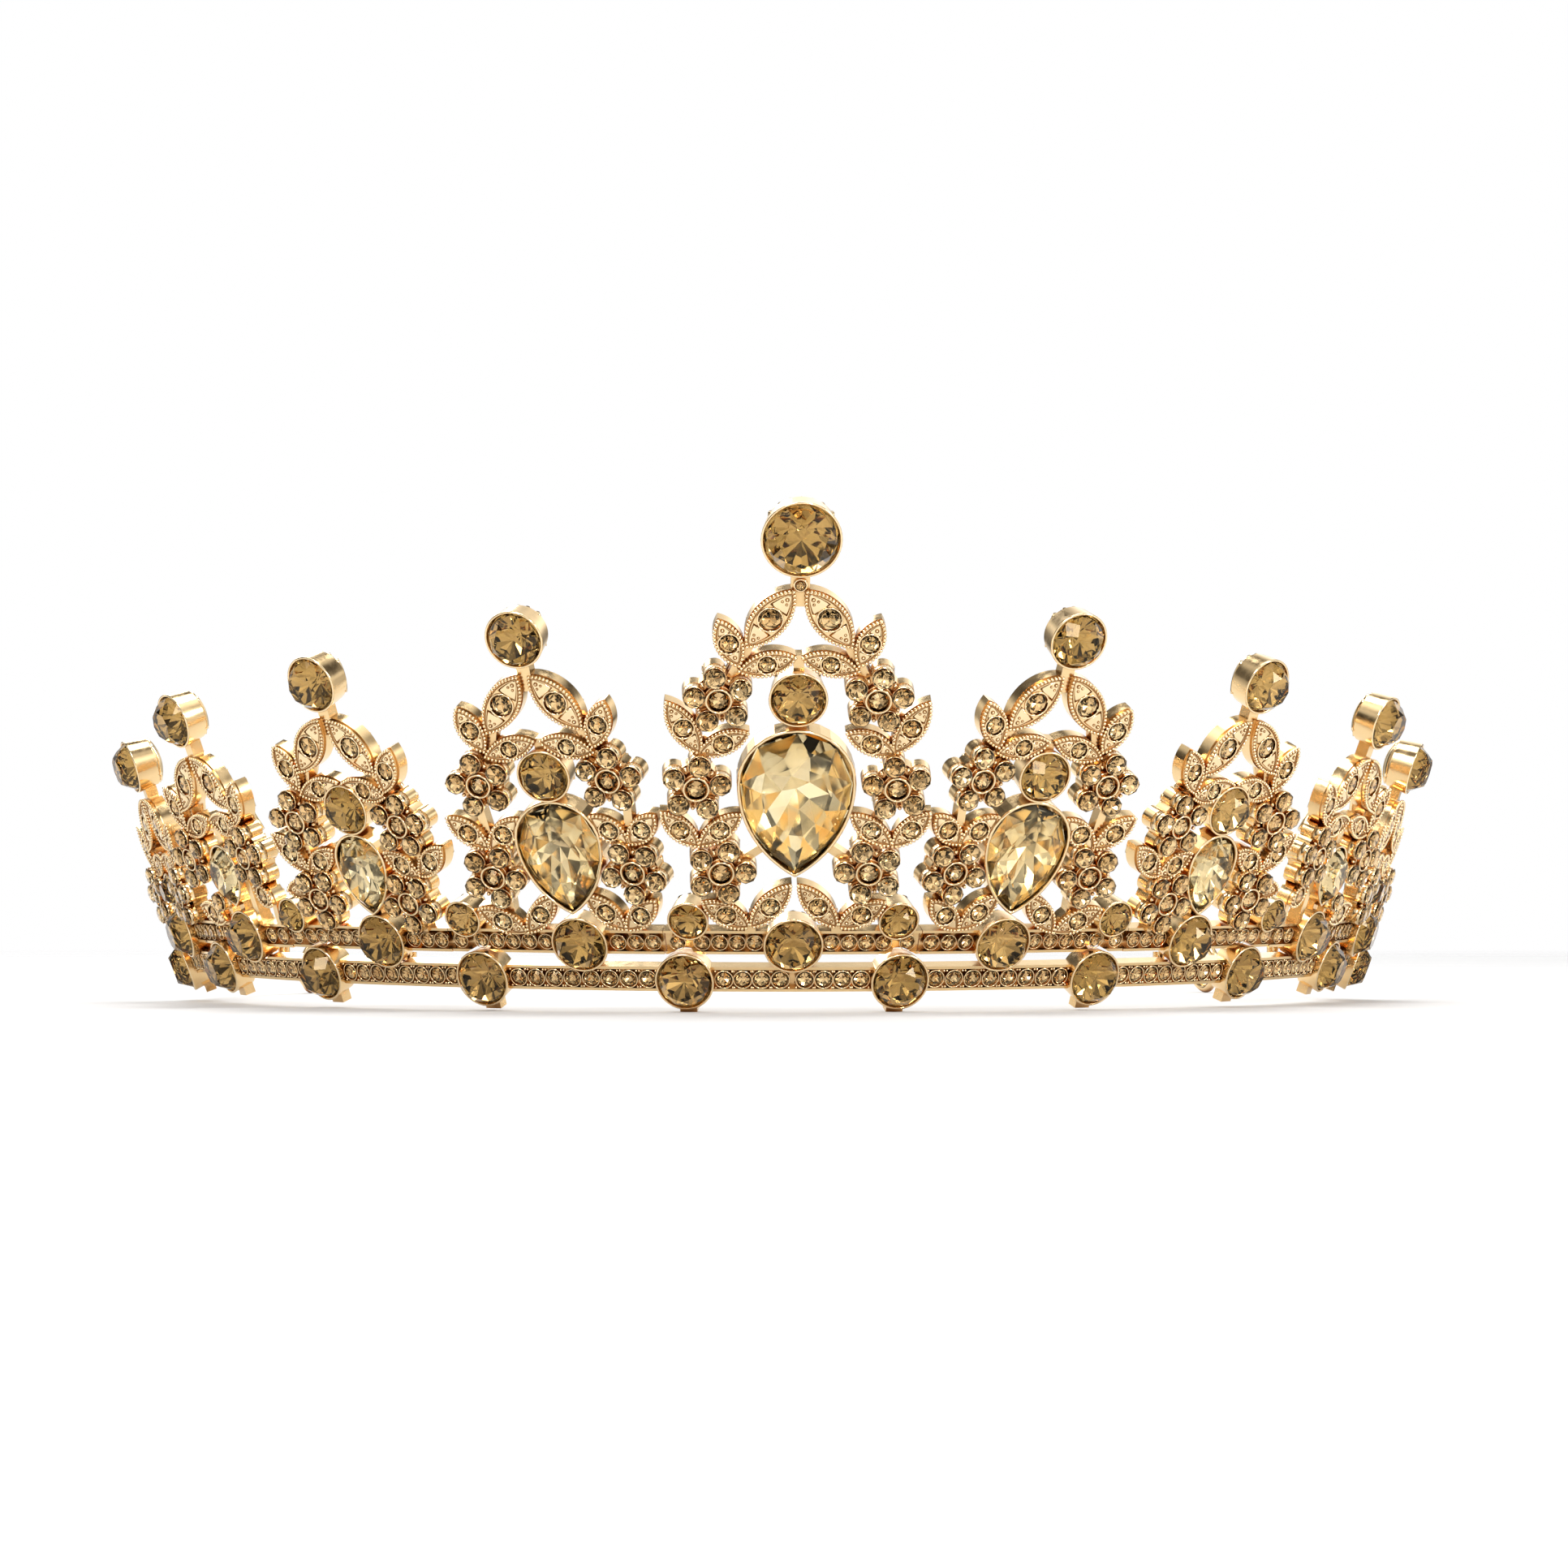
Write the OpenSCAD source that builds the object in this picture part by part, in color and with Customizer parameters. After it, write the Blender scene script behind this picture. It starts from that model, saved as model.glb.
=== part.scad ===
// Rhinestone tiara: nine pierced castings set with cut stones, soldered side by side above a
// stone-set lower band, all carried by a round wire headband that ends in two loops.
// Units are millimetres. X runs across the wearer, -Y is the front and +Z is up. The tiara
// stands as it would by itself: on the rim of its lower band in front and on its two wire
// loops behind. The origin is in the middle of the base.
//
// Each casting has its own flat pattern frame: u runs along the band, v up the casting and
// w out of its face. w = 0 lies halfway up the crowns of the large stones.

/* [Curve of the band] */
// Radius of the curve across the front, at the faces of the large lower stones
front_r = 59.5; // [58:0.5:61]
// Heading at which the front curve gives way to the flatter sides, in degrees
front_sweep = 14.2; // [14:0.1:14.5]
// Radius of the curve along each side
side_r = 85.8; // [84.5:0.1:87]
// Heading at which the sides give way to the tighter ends of the lower band, in degrees
side_end = 73; // [72.9:0.1:73.3]
// Radius of the curve at each end
end_r = 41; // [38:0.5:44]
// Heading at the tips of the lower band, in degrees
tip_heading = 93; // [92.5:0.5:95]
// How far the ends of the lower band dip below the rest, in degrees
end_dip = 5; // [4:0.5:6]

/* [Bands] */
// Height of both stone-set bands
band_h = 3.0; // [2.8:0.05:3.1]
// Outward lean of the lower band, in degrees
band_lean = 20; // [18:1:22]
// Height of the upper band's middle above the lower band's
upper_z = 4.1; // [4.05:0.05:4.15]
// How far the upper band stands out in front of the lower band
upper_out = 1.5; // [1.4:0.1:1.6]
// Diameter of the small stones in the lower band
band_stone_d = 2.0; // [1.85:0.05:2]

/* [Settings] */
// Wall of the round cups that hold the large stones
cup_wall = 0.28; // [0.25:0.01:0.32]
// Wall of the pear-shaped cups
pear_wall = 0.35; // [0.3:0.01:0.4]
// Diameter of the large round stones along both bands
large_stone_d = 6.3; // [6:0.1:6.4]
// Diameter of a flower's middle stone
flower_stone_d = 2.3; // [2:0.1:2.4]
// Distance of a flower's petals from its middle
petal_ring = 2.75; // [2.65:0.05:2.8]
// Radius of one petal cup
petal_r = 1.3; // [1.2:0.01:1.3]

/* [Headband] */
// Diameter of the headband wire
wire_d = 1.45; // [1.3:0.05:1.6]
// Diameter of the wire in the end loops
loop_wire_d = 1.25; // [1.1:0.05:1.4]
// Outside length of an end loop
loop_l = 9.7; // [9:0.1:11]
// Outside width of an end loop
loop_w = 7.2; // [6.5:0.1:7.6]

/* [Hidden] */
$fn = 48;
gold = "#d8b878";
topaz = "#9c7a3c";
champagne = "#ecc98a";

// Clear gap between pieces that are set into or beside each other
gap = 0.1;

// Levels of the large round stones and their cups, as w
cup_rim = -0.7;
cup_back = -3.4;
cup_taper = 0.9;
dome_h = 1;
girdle = -0.85;
seat = -0.95;
culet = -2.7;
culet_r = 0.75;
// Height of a round stone's crown, as a part of its diameter
crown_part = 0.32;

// Levels of the pear stones and their cups
pear_table = 0.5;
pear_rim = -0.8;
pear_back = -3.25;
pear_girdle = -1;
pear_culet = -2.5;

// Levels of the bands
band_front = -1.5;
band_back = -3.1;
groove_floor = -2.35;
small_table = -1.25;

// Levels of the flat metal, its leaves, its flowers and the ridges behind its stems
plate_back = -2.9;
plate_top = -1.4;
relief_top = -0.85;
leaf_table = -0.7;
flower_floor = -1.1;
petal_top = -0.35;
flower_rim = -0.1;
flower_table = 0.2;
stem_back = -3.5;

// Gap round the small stones of the lower band, and half the width of their groove
groove_gap = 0.17;
groove_h = band_stone_d / 2 + groove_gap;

// How the whole is turned and shifted so that it stands level with its origin at the base
rest_pitch = 1.51;
rest_shift = [0, -48.14, 3.18];

// The nine castings, as half of a mirror-image set, from the middle outwards. Columns:
// heading of its foot, outward lean, fan towards the tip, height and diameter of the top
// stone, height of the upper leaves, distance out of the upper flowers, height and diameter
// of the round stone, height, width and length of the pear stone
SPIRES = [
    [0.0, 26.3, 0.0, 49.7, 8.3, 40.4, 8.8, 30.7, 6.0, 17.9, 12.6, 17.6],
    [20.8, 25.3, 2.2, 37.9, 6.3, 30.2, 7.9, 21.2, 5.8, 11.0, 9.8, 13.6],
    [38.8, 23.7, -1.8, 32.6, 6.3, 24.9, 8.0, 16.85, 5.8, 8.58, 7.0, 9.75],
    [56.2, 20.3, 1.4, 28.0, 6.3, 20.0, 7.1, 0.0, 0.0, 8.0, 5.6, 7.4],
    [71.3, 18.0, 1.0, 22.1, 6.3, 14.5, 6.9, 5.6, 4.0, 0.0, 0.0, 0.0]
];
function heading(k) = SPIRES[k][0];
function lean(k) = SPIRES[k][1];
function fan(k) = SPIRES[k][2];
function top_v(k) = SPIRES[k][3];
function top_d(k) = SPIRES[k][4];
function head_v(k) = SPIRES[k][5];
function flower_u(k) = SPIRES[k][6];
function round_v(k) = SPIRES[k][7];
function round_d(k) = SPIRES[k][8];
function pear_v(k) = SPIRES[k][9];
function pear_w(k) = SPIRES[k][10];
function pear_l(k) = SPIRES[k][11];

// Stones set beyond the seams. Columns: heading, diameter
LOWER = [[12.1, 6.3], [29.7, 6.3], [46.8, 6.3], [62.9, 6.3]];
MID = [[11.2, 4.2], [30.3, 4.1], [48.3, 4.0]];
end_heading = 82.4;
mid_v = 3.1;

// Leaves that every casting has below its top stone, measured from the height of the upper
// leaves. Columns: u and v of the foot, u and v of the tip, width, stone diameter, side
function head_leaves(h) = [
    [0.6, h + 3.3, 5.9, h - 3.6, 4.1, 2.6, 0],
    [6.5, h - 5.9, 9.0, h - 0.2, 3.2, 2.2, 0],
    [0.2, h - 4.7, 6.8, h - 6.4, 3.0, 2.0, 0]
];

// The other leaves of each casting, in the same columns. Side 0 is both sides, 1 is the side
// towards the tip of the band and -1 the side towards the front
LEAVES = [
    [
        [5.3, 26.6, 11.2, 23.9, 2.9, 2.2, 0],
        [10.6, 23.9, 14.7, 30.4, 3.2, 2.2, 0],
        [6.0, 16.6, 11.0, 12.5, 2.8, 2.2, 0],
        [10.7, 12.4, 15.2, 16.8, 2.8, 2.2, 0],
        [0.3, 7.7, 5.1, 2.1, 3.0, 2.2, 0],
        [4.8, 2.2, 10.5, 5.5, 3.0, 2.2, 0]
    ], [
        [4.3, 16.1, 8.7, 12.2, 3.0, 2.2, 0],
        [8.4, 12.3, 13.2, 16.6, 3.0, 2.2, 1],
        [8.4, 12.3, 12.4, 15.9, 3.0, 2.2, -1],
        [1.9, 6.3, 6.2, 1.5, 3.0, 2.2, 0],
        [6.0, 1.5, 11.8, 4.9, 3.0, 2.2, 1],
        [6.0, 1.5, 10.4, 5.3, 3.0, 2.2, -1]
    ], [
        [3.9, 11.6, 8.9, 8.4, 3.0, 2.2, 0],
        [8.6, 8.4, 13.2, 13.4, 3.0, 2.2, 1],
        [8.6, 8.6, 13.2, 12.6, 3.0, 2.2, -1],
        [9, 6.4, 13.2, 5.9, 2.6, 0, 1]
    ], [
        [4.4, 1.8, 9.7, 4.2, 2.9, 2.2, 1],
        [5.6, 6.6, 9.2, 3.9, 2.8, 2.2, -1]
    ], []
];

// Flowers below the upper pair. Columns: u, v, angle of the first petal, side
FLOWERS = [
    [[11.2, 20.0, 98, 0], [8.3, 9.5, 107, 0]],
    [[8.6, 9.1, 118, 0]],
    [[7.6, 5.3, 120, 1], [6.5, 5.4, 120, -1]],
    [],
    []
];
upper_petal_angle = 80;
upper_flower_drop = 9.6;

// Plain bars that join the pattern. Columns: u and v of both ends, width, side
function head_bars(k) = [
    [0, top_v(k) - top_d(k) / 2 + 0.4, 0, head_v(k) + 1.2, top_d(k) / 4, 0],
    [5.2, head_v(k) - 2.7, flower_u(k) - 1.3, head_v(k) - 7.6, 1.2, 0]
];
BARS = [
    [
        [0, 33.6, 0, 35.8, 1.2, 0], [0, 26.8, 0, 27.7, 2, 0], [3.4, 12.4, 6.2, 10.4, 1, 0],
        [9.6, 17.2, 9.2, 15, 1, 0], [10.9, 24.6, 10.9, 22.6, 1.4, 0],
        [8.2, 13.9, 8.2, 11.8, 1.2, 0], [8.2, 6.9, 8.2, 4.6, 1.2, 0], [4.9, 3.2, 4.9, 1.3, 1.2, 0]
    ],
    [
        [0, 24, 0, 25.6, 1.2, 0], [9.1, 18.2, 8.6, 12.6, 1, 0], [8.5, 13, 8.5, 11.4, 1.2, 0],
        [7.9, 6.5, 8.1, 3.6, 1.2, 0], [6.1, 2.6, 6.1, 1.3, 1.2, 0]
    ],
    [
        [0, 3, 0, 4.6, 1.2, 0], [8.7, 12.4, 8.7, 6.8, 1.1, 0], [7.6, 2.8, 7.6, 1.3, 1.6, 1],
        [6.4, 2.8, 6.4, 1.3, 1.6, -1]
    ],
    [
        [0, 12, 0, 15.4, 1.4, 0], [0, 3.2, 0, 4.8, 1.2, 0], [3.4, 9, 3.4, 1.3, 1.1, 0],
        [8.5, 4.4, 8, 1.3, 1, -1], [4.6, 8.2, 6.8, 5.8, 1, -1], [5.2, 2.8, 5.2, 1.3, 1.4, 1]
    ],
    [[0, 7.4, 0, 10.2, 1.4, 0], [0, 3, 0, 4, 1.4, 0], [3, 0.6, 6.1, -0.9, 1.5, 1]]
];

// Small single cups on the bars. Columns: u, v, side
CUPS = [[], [], [], [[3.5, 4.7, 1]], [[5.0, -0.3, 1]]];

// Headings between which each casting carries its stretch of the upper band. Each seam lies
// just past the middle stone that belongs to the inner casting
mid_clear = 3.0;
last_seam = 63.4;
band_end = 72.8;
function seam(k) = k == 0 ? front_sweep : k < 3 ? heading_at(length_at(MID[k][0]) + mid_clear) : last_seam;
function seam_from(k) = k == 0 ? -seam(0) : heading_at(length_at(seam(k - 1)) + gap);
function seam_to(k) = k == 4 ? band_end : seam(k);

// Curve of the band. A place on it is given by its heading, the angle that the band has
// turned through from the middle of the front
front_centre = [0, front_r];
side_centre = front_centre + (front_r - side_r) * outward(front_sweep);
end_centre = side_centre + (side_r - end_r) * outward(side_end);
function outward(h) = [sin(h), -cos(h)];
function place(h, off) = h <= front_sweep
    ? front_centre + (front_r + off) * outward(h)
    : h <= side_end ? side_centre + (side_r + off) * outward(h)
    : end_centre + (end_r + off) * outward(h);
front_len = front_r * front_sweep * PI / 180;
side_len = front_len + side_r * (side_end - front_sweep) * PI / 180;
function length_at(h) = h <= front_sweep ? front_r * h * PI / 180
    : h <= side_end ? front_len + side_r * (h - front_sweep) * PI / 180
    : side_len + end_r * (h - side_end) * PI / 180;
function heading_at(s) = s <= front_len ? s / front_r * 180 / PI
    : s <= side_len ? front_sweep + (s - front_len) / side_r * 180 / PI
    : side_end + (s - side_len) / end_r * 180 / PI;

// Small stones of the lower band: evenly spaced between the cups of two large stones
cup_r = large_stone_d / 2 + cup_wall;
small_pitch = band_stone_d + 2 * gap;
tip_stone_s = length_at(end_heading) + cup_r + small_pitch / 2 + gap;
function stones_between(a, b) =
    let (room = b - a - 2 * cup_r - 2 * gap - band_stone_d, n = floor(room / small_pitch))
    [for (i = [0:n]) a + cup_r + gap + band_stone_d / 2 + room * i / n];
lower_s = [for (l = LOWER) length_at(l[0])];
front_stones = [for (i = [0:3]) lower_s[0] - cup_r - gap - band_stone_d / 2 - i * small_pitch];
small_s = concat(
    front_stones,
    stones_between(lower_s[0], lower_s[1]),
    stones_between(lower_s[1], lower_s[2]),
    stones_between(lower_s[2], lower_s[3]),
    stones_between(lower_s[3], length_at(end_heading)),
    [tip_stone_s]
);

// Names of the nodes
function side_name(k, s) = k == 0 ? "center" : str(s > 0 ? "right_" : "left_", k);
PLACES = [for (k = [0:4]) for (s = k == 0 ? [1] : [1, -1]) [side_name(k, s), k, s]];
ROUNDS = [for (p = PLACES) if (round_d(p[1]) > 0) p];
PEARS = [for (p = PLACES) if (pear_l(p[1]) > 0) p];
LOWERS = [for (k = [1:4]) for (s = [1, -1]) [side_name(k, s), k - 1, s]];

// Frames
module at_rest() translate(rest_shift) rotate([rest_pitch, 0, 0]) children();
module on_side(s) mirror([s < 0 ? 1 : 0, 0, 0]) children();
module on_curve(h, off, z, tilt)
    translate([place(h, off).x, place(h, off).y, z])
        rotate([90 + tilt, 0, h])
            children();
module spire_frame(k) on_curve(heading(k), upper_out, upper_z, lean(k)) rotate([0, 0, -fan(k)]) children();
module foot_frame(k) on_curve(heading(k), upper_out, upper_z, lean(k)) children();
module mid_frame(i) on_curve(MID[i][0], upper_out, upper_z, lean(i)) translate([0, mid_v, 0]) children();
module lower_frame(h) dipped(h) on_curve(h, 0, 0, band_lean) children();
module turned_down(angle) {
    pivot = place(side_end, 0);
    translate([pivot.x, pivot.y, 0])
        rotate(a = -angle, v = [outward(side_end).x, outward(side_end).y, 0])
            translate([-pivot.x, -pivot.y, 0])
                children();
}
module dipped(h)
    if (h > side_end) turned_down(end_dip) children();
    else children();
module both_sides(side) {
    if (side >= 0) children();
    if (side <= 0) mirror([1, 0, 0]) children();
}

// A pointed leaf from one end to the other, drawn in by an inset
module leaf_outline(l, inset) {
    span = norm([l[2] - l[0], l[3] - l[1]]) - 2.2 * inset;
    half_w = l[4] / 2 - inset;
    r = (span * span / 4 + half_w * half_w) / (2 * half_w);
    translate([(l[0] + l[2]) / 2, (l[1] + l[3]) / 2])
        rotate(atan2(l[3] - l[1], l[2] - l[0]))
            intersection() {
                translate([0, r - half_w]) circle(r);
                translate([0, half_w - r]) circle(r);
            }
}
module bar_outline(b)
    translate([b[0], b[1]])
        rotate(atan2(b[3] - b[1], b[2] - b[0]))
            translate([0, -b[4] / 2])
                square([norm([b[2] - b[0], b[3] - b[1]]), b[4]]);
function leaf_mid(l) = [(l[0] + l[2]) / 2, (l[1] + l[3]) / 2];
function leaves(k) = concat(head_leaves(head_v(k)), LEAVES[k]);
function flowers(k) = concat([[flower_u(k), head_v(k) - upper_flower_drop, upper_petal_angle, 0]], FLOWERS[k]);
function bars(k) = concat(head_bars(k), BARS[k]);
function petal(f, i) = [f[0], f[1]] + petal_ring * [cos(f[2] + 72 * i), sin(f[2] + 72 * i)];

// Outline of a pear stone: a half circle above and two arcs that meet in the point below
pear_steps = 8;
function pear_points(w, l, n) =
    let (
        r = w / 2,
        t = l - r,
        a = (t * t - r * r) / (2 * r),
        sweep = asin(t / (r + a)),
        lift = (l / 2 - r)
    )
    concat(
        [for (i = [0:n]) [r * cos(180 * i / n), lift + r * sin(180 * i / n)]],
        [for (i = [1:n - 1]) let (q = sweep * i / n) [a - (r + a) * cos(q), lift - (r + a) * sin(q)]],
        [[0, lift - t]],
        [for (i = [n - 1:-1:1]) let (q = sweep * i / n) [(r + a) * cos(q) - a, lift - (r + a) * sin(q)]]
    );
module pear_outline(k, grow, n) polygon(pear_points(pear_w(k) + 2 * grow, pear_l(k) + 2 * grow, n));

// The flat metal of a casting
module plate(k) {
    translate([0, 0, plate_back]) linear_extrude(plate_top - plate_back) {
        for (l = leaves(k)) both_sides(l[6]) leaf_outline(l, 0);
        for (b = bars(k)) both_sides(b[5]) bar_outline(b);
        for (f = flowers(k)) both_sides(f[3]) for (i = [0:4]) translate(petal(f, i)) circle(petal_r);
        for (c = CUPS[k]) both_sides(c[2]) translate([c[0], c[1]]) circle(petal_r);
    }
    // Raised leaf faces, open where a small stone sits
    translate([0, 0, plate_top]) linear_extrude(relief_top - plate_top)
        for (l = leaves(k)) both_sides(l[6]) difference() {
            leaf_outline(l, 0.22);
            if (l[5] > 0) translate(leaf_mid(l)) circle(l[5] / 2 + gap);
        }
    // Flowers stand prouder than the leaves: a disc, five petal cups and an open middle cup
    for (f = flowers(k)) both_sides(f[3]) {
        translate([f[0], f[1], plate_back]) cylinder(h = flower_floor - plate_back, r = petal_ring);
        for (i = [0:4]) translate([petal(f, i).x, petal(f, i).y, plate_top])
            cylinder(h = petal_top - plate_top, r = petal_r - 0.12);
        translate([f[0], f[1], flower_floor]) linear_extrude(flower_rim - flower_floor) difference() {
            circle(flower_stone_d / 2 + 0.35);
            circle(flower_stone_d / 2 + gap);
        }
    }
    for (c = CUPS[k]) both_sides(c[2]) translate([c[0], c[1], plate_top])
        cylinder(h = petal_top - plate_top, r = petal_r - 0.12);
    // Ridge down the back of each upper stem
    translate([0, 0, stem_back]) linear_extrude(plate_back - stem_back)
        both_sides(0) bar_outline([4.4, head_v(k) - 1.4, 7.6, head_v(k) - 7.2, 0.9]);
}

// A round cup with a tapered wall, the same with a domed back, and the pocket in them
module cup_section(d) {
    rim_r = d / 2 + cup_wall;
    polygon([[0, cup_back], [rim_r * cup_taper, cup_back], [rim_r, cup_rim], [0, cup_rim]]);
}
module cup(d) rotate_extrude() cup_section(d);
module domed_cup(d) {
    back_r = (d / 2 + cup_wall) * cup_taper;
    ball_r = (back_r * back_r + dome_h * dome_h) / (2 * dome_h);
    rotate_extrude() {
        cup_section(d);
        intersection() {
            translate([0, cup_back + ball_r - dome_h]) circle(ball_r);
            translate([0, cup_back - dome_h]) square([back_r, dome_h + 0.4]);
        }
    }
}
module pocket(d) rotate_extrude() polygon([
    [0, culet - gap], [culet_r + gap, culet - gap], [d / 2 + gap, seat], [d / 2 + gap, 1], [0, 1]
]);
module cup_clearance(d) translate([0, 0, cup_back - 1.2]) cylinder(h = 4.2, r = d / 2 + cup_wall + gap);
module stone_clearance(d) translate([0, 0, cup_back - 1.2]) cylinder(h = 7, r = d / 2 + cup_wall + gap);

// A pear cup with a pear-shaped window through its back
window_w = 0.46;
window_l = 0.6;
module pear_cup(k) translate([0, pear_v(k), pear_back])
    linear_extrude(pear_rim - pear_back) pear_outline(k, pear_wall, 2 * pear_steps);
module pear_pocket(k) translate([0, pear_v(k), 0]) {
    translate([0, 0, pear_culet - gap]) linear_extrude(4) pear_outline(k, gap, 2 * pear_steps);
    translate([0, 0, pear_back - 1]) linear_extrude(3)
        polygon(pear_points(pear_w(k) * window_w, pear_l(k) * window_l, pear_steps));
}

// Bands: a grooved strip swept along one arc of the curve
module band_arc(c, r, h0, h1, z, tilt)
    translate([c.x, c.y, z])
        rotate([0, 0, h0 - 90])
            rotate_extrude(angle = h1 - h0)
                translate([r, 0])
                    rotate(-tilt)
                        band_profile(0);
module band_profile(grow) polygon([
    [band_back - grow, -band_h / 2 - grow], [band_front + grow, -band_h / 2 - grow],
    [band_front + grow, grow - groove_h], [groove_floor + grow, grow - groove_h],
    [groove_floor + grow, groove_h - grow], [band_front + grow, groove_h - grow],
    [band_front + grow, band_h / 2 + grow], [band_back - grow, band_h / 2 + grow]
]);
// A short sleeve of solder where two arcs of the lower band meet
sleeve_len = 1.4;
sleeve_grow = 0.05;
module sleeve(h) on_curve(h, 0, 0, band_lean) rotate([0, -90, 0])
    translate([0, 0, -sleeve_len / 2])
        linear_extrude(sleeve_len)
            band_profile(sleeve_grow);
module upper_band(k)
    if (k == 0) band_arc(front_centre, front_r + upper_out, -seam(0), seam(0), upper_z, lean(k));
    else band_arc(side_centre, side_r + upper_out, seam_from(k), seam_to(k), upper_z, lean(k));

// One casting: its pattern, its cups and its stretch of the upper band
module spire(k, s) color(gold) at_rest() on_side(s) difference() {
    union() {
        spire_frame(k) {
            plate(k);
            translate([0, top_v(k), 0]) domed_cup(top_d(k));
            if (round_d(k) > 0) translate([0, round_v(k), 0]) domed_cup(round_d(k));
            if (pear_l(k) > 0) pear_cup(k);
        }
        foot_frame(k) domed_cup(large_stone_d);
        upper_band(k);
        if (k < 3) mid_frame(k) domed_cup(MID[k][1]);
        if (k == 0) mirror([1, 0, 0]) mid_frame(k) domed_cup(MID[k][1]);
    }
    spire_frame(k) {
        translate([0, top_v(k), 0]) pocket(top_d(k));
        if (round_d(k) > 0) translate([0, round_v(k), 0]) pocket(round_d(k));
        if (pear_l(k) > 0) pear_pocket(k);
    }
    foot_frame(k) pocket(large_stone_d);
    if (k < 3) mid_frame(k) pocket(MID[k][1]);
    if (k == 0) mirror([1, 0, 0]) mid_frame(k) pocket(MID[k][1]);
    // Room for the middle cup of the casting before it
    if (k > 0 && k < 4) mid_frame(k - 1) stone_clearance(MID[k - 1][1]);
    // Room for the lower band's cups, against which the casting rests
    if (k < 4) lower_frame(LOWER[k][0]) cup_clearance(large_stone_d);
    if (k > 0) lower_frame(LOWER[k - 1][0]) cup_clearance(large_stone_d);
    if (k == 0) mirror([1, 0, 0]) lower_frame(LOWER[0][0]) cup_clearance(large_stone_d);
}

// A square lug below each cup of the lower band
lug_w = 2;
lug_low = -4.2;
lug_high = -2.8;
lug_back = -3.25;
lug_front = -1.9;
module lug() translate([-lug_w / 2, lug_low, lug_back]) cube([lug_w, lug_high - lug_low, lug_front - lug_back]);

// The lower band, with its round cups and rounded tips
module lower_band() color(gold) at_rest() difference() {
    union() {
        band_arc(front_centre, front_r, -front_sweep, front_sweep, 0, band_lean);
        for (s = [1, -1]) on_side(s) {
            band_arc(side_centre, side_r, front_sweep, side_end, 0, band_lean);
            dipped(tip_heading) band_arc(end_centre, end_r, side_end, tip_heading, 0, band_lean);
            sleeve(front_sweep);
            turned_down(end_dip / 2) sleeve(side_end);
            for (l = LOWER) lower_frame(l[0]) {
                cup(l[1]);
                lug();
            }
            lower_frame(end_heading) {
                cup(large_stone_d);
                lug();
            }
            lower_frame(tip_heading) translate([0, 0, band_back + 0.2])
                cylinder(h = band_front - band_back - 0.5, r = band_h / 2 - 0.1);
        }
    }
    for (s = [1, -1]) on_side(s) {
        for (l = LOWER) lower_frame(l[0]) pocket(l[1]);
        lower_frame(end_heading) pocket(large_stone_d);
        for (k = [0:4]) foot_frame(k) cup_clearance(large_stone_d);
    }
}

// The headband wire. It follows the back of the lower band, leaves it near the tips and runs
// back and down to a loop on each side
wire_off = -4.75;
wire_z = 0.8;
bend_r = 48;
bend_end = 82.2;
leg_r = 79.5;
leg_sweep = 32.7;
leg_tilt = 14;
wire_r = wire_d / 2;
collar_r = wire_r + 0.05;
bend_centre = place(side_end, wire_off) - bend_r * outward(side_end);
leg_start = bend_centre + bend_r * outward(bend_end);
leg_end = [leg_r * (cos(leg_sweep) - 1), leg_r * sin(leg_sweep)];
loop_turn = 12;
loop_drop = 26.5;
loop_roll = 72;
loop_start = 4.6;
loop_curl = 155;
loop_bend_r = (loop_w - loop_wire_d) / 2;
loop_straight = loop_l - loop_w;
module wire_arc(c, r, h0, h1)
    translate([c.x, c.y, wire_z])
        rotate([0, 0, h0 - 90])
            rotate_extrude(angle = h1 - h0)
                translate([r, 0])
                    circle(wire_r);
// A short collar over the place where two arcs of the wire meet
module collar(x, y, h) translate([x, y, wire_z]) rotate([90, 0, h + 90])
    cylinder(h = 1, r = collar_r, center = true);
module leg_frame()
    translate([leg_start.x, leg_start.y, wire_z])
        rotate([0, -leg_tilt, bend_end - 90])
            children();
// An upright eye: the wire runs straight along its lower side, turns back and curls down to
// meet itself
module wire_loop() rotate([0, loop_roll, 0]) translate([-loop_bend_r, loop_start, 0]) {
    translate([0, loop_straight, 0])
        rotate_extrude(angle = 180)
            translate([loop_bend_r, 0])
                circle(loop_wire_d / 2);
    rotate([0, 0, 180])
        rotate_extrude(angle = loop_curl)
            translate([loop_bend_r, 0])
                circle(loop_wire_d / 2);
    translate([-loop_bend_r, 0, 0])
        rotate([-90, 0, 0])
            cylinder(h = loop_straight, r = loop_wire_d / 2);
    translate([loop_bend_r, -loop_start, 0])
        rotate([-90, 0, 0])
            cylinder(h = loop_start + loop_straight, r = loop_wire_d / 2);
}
post_r = 0.7;
post_off = -4.3;
post_h = 2.2;
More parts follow.
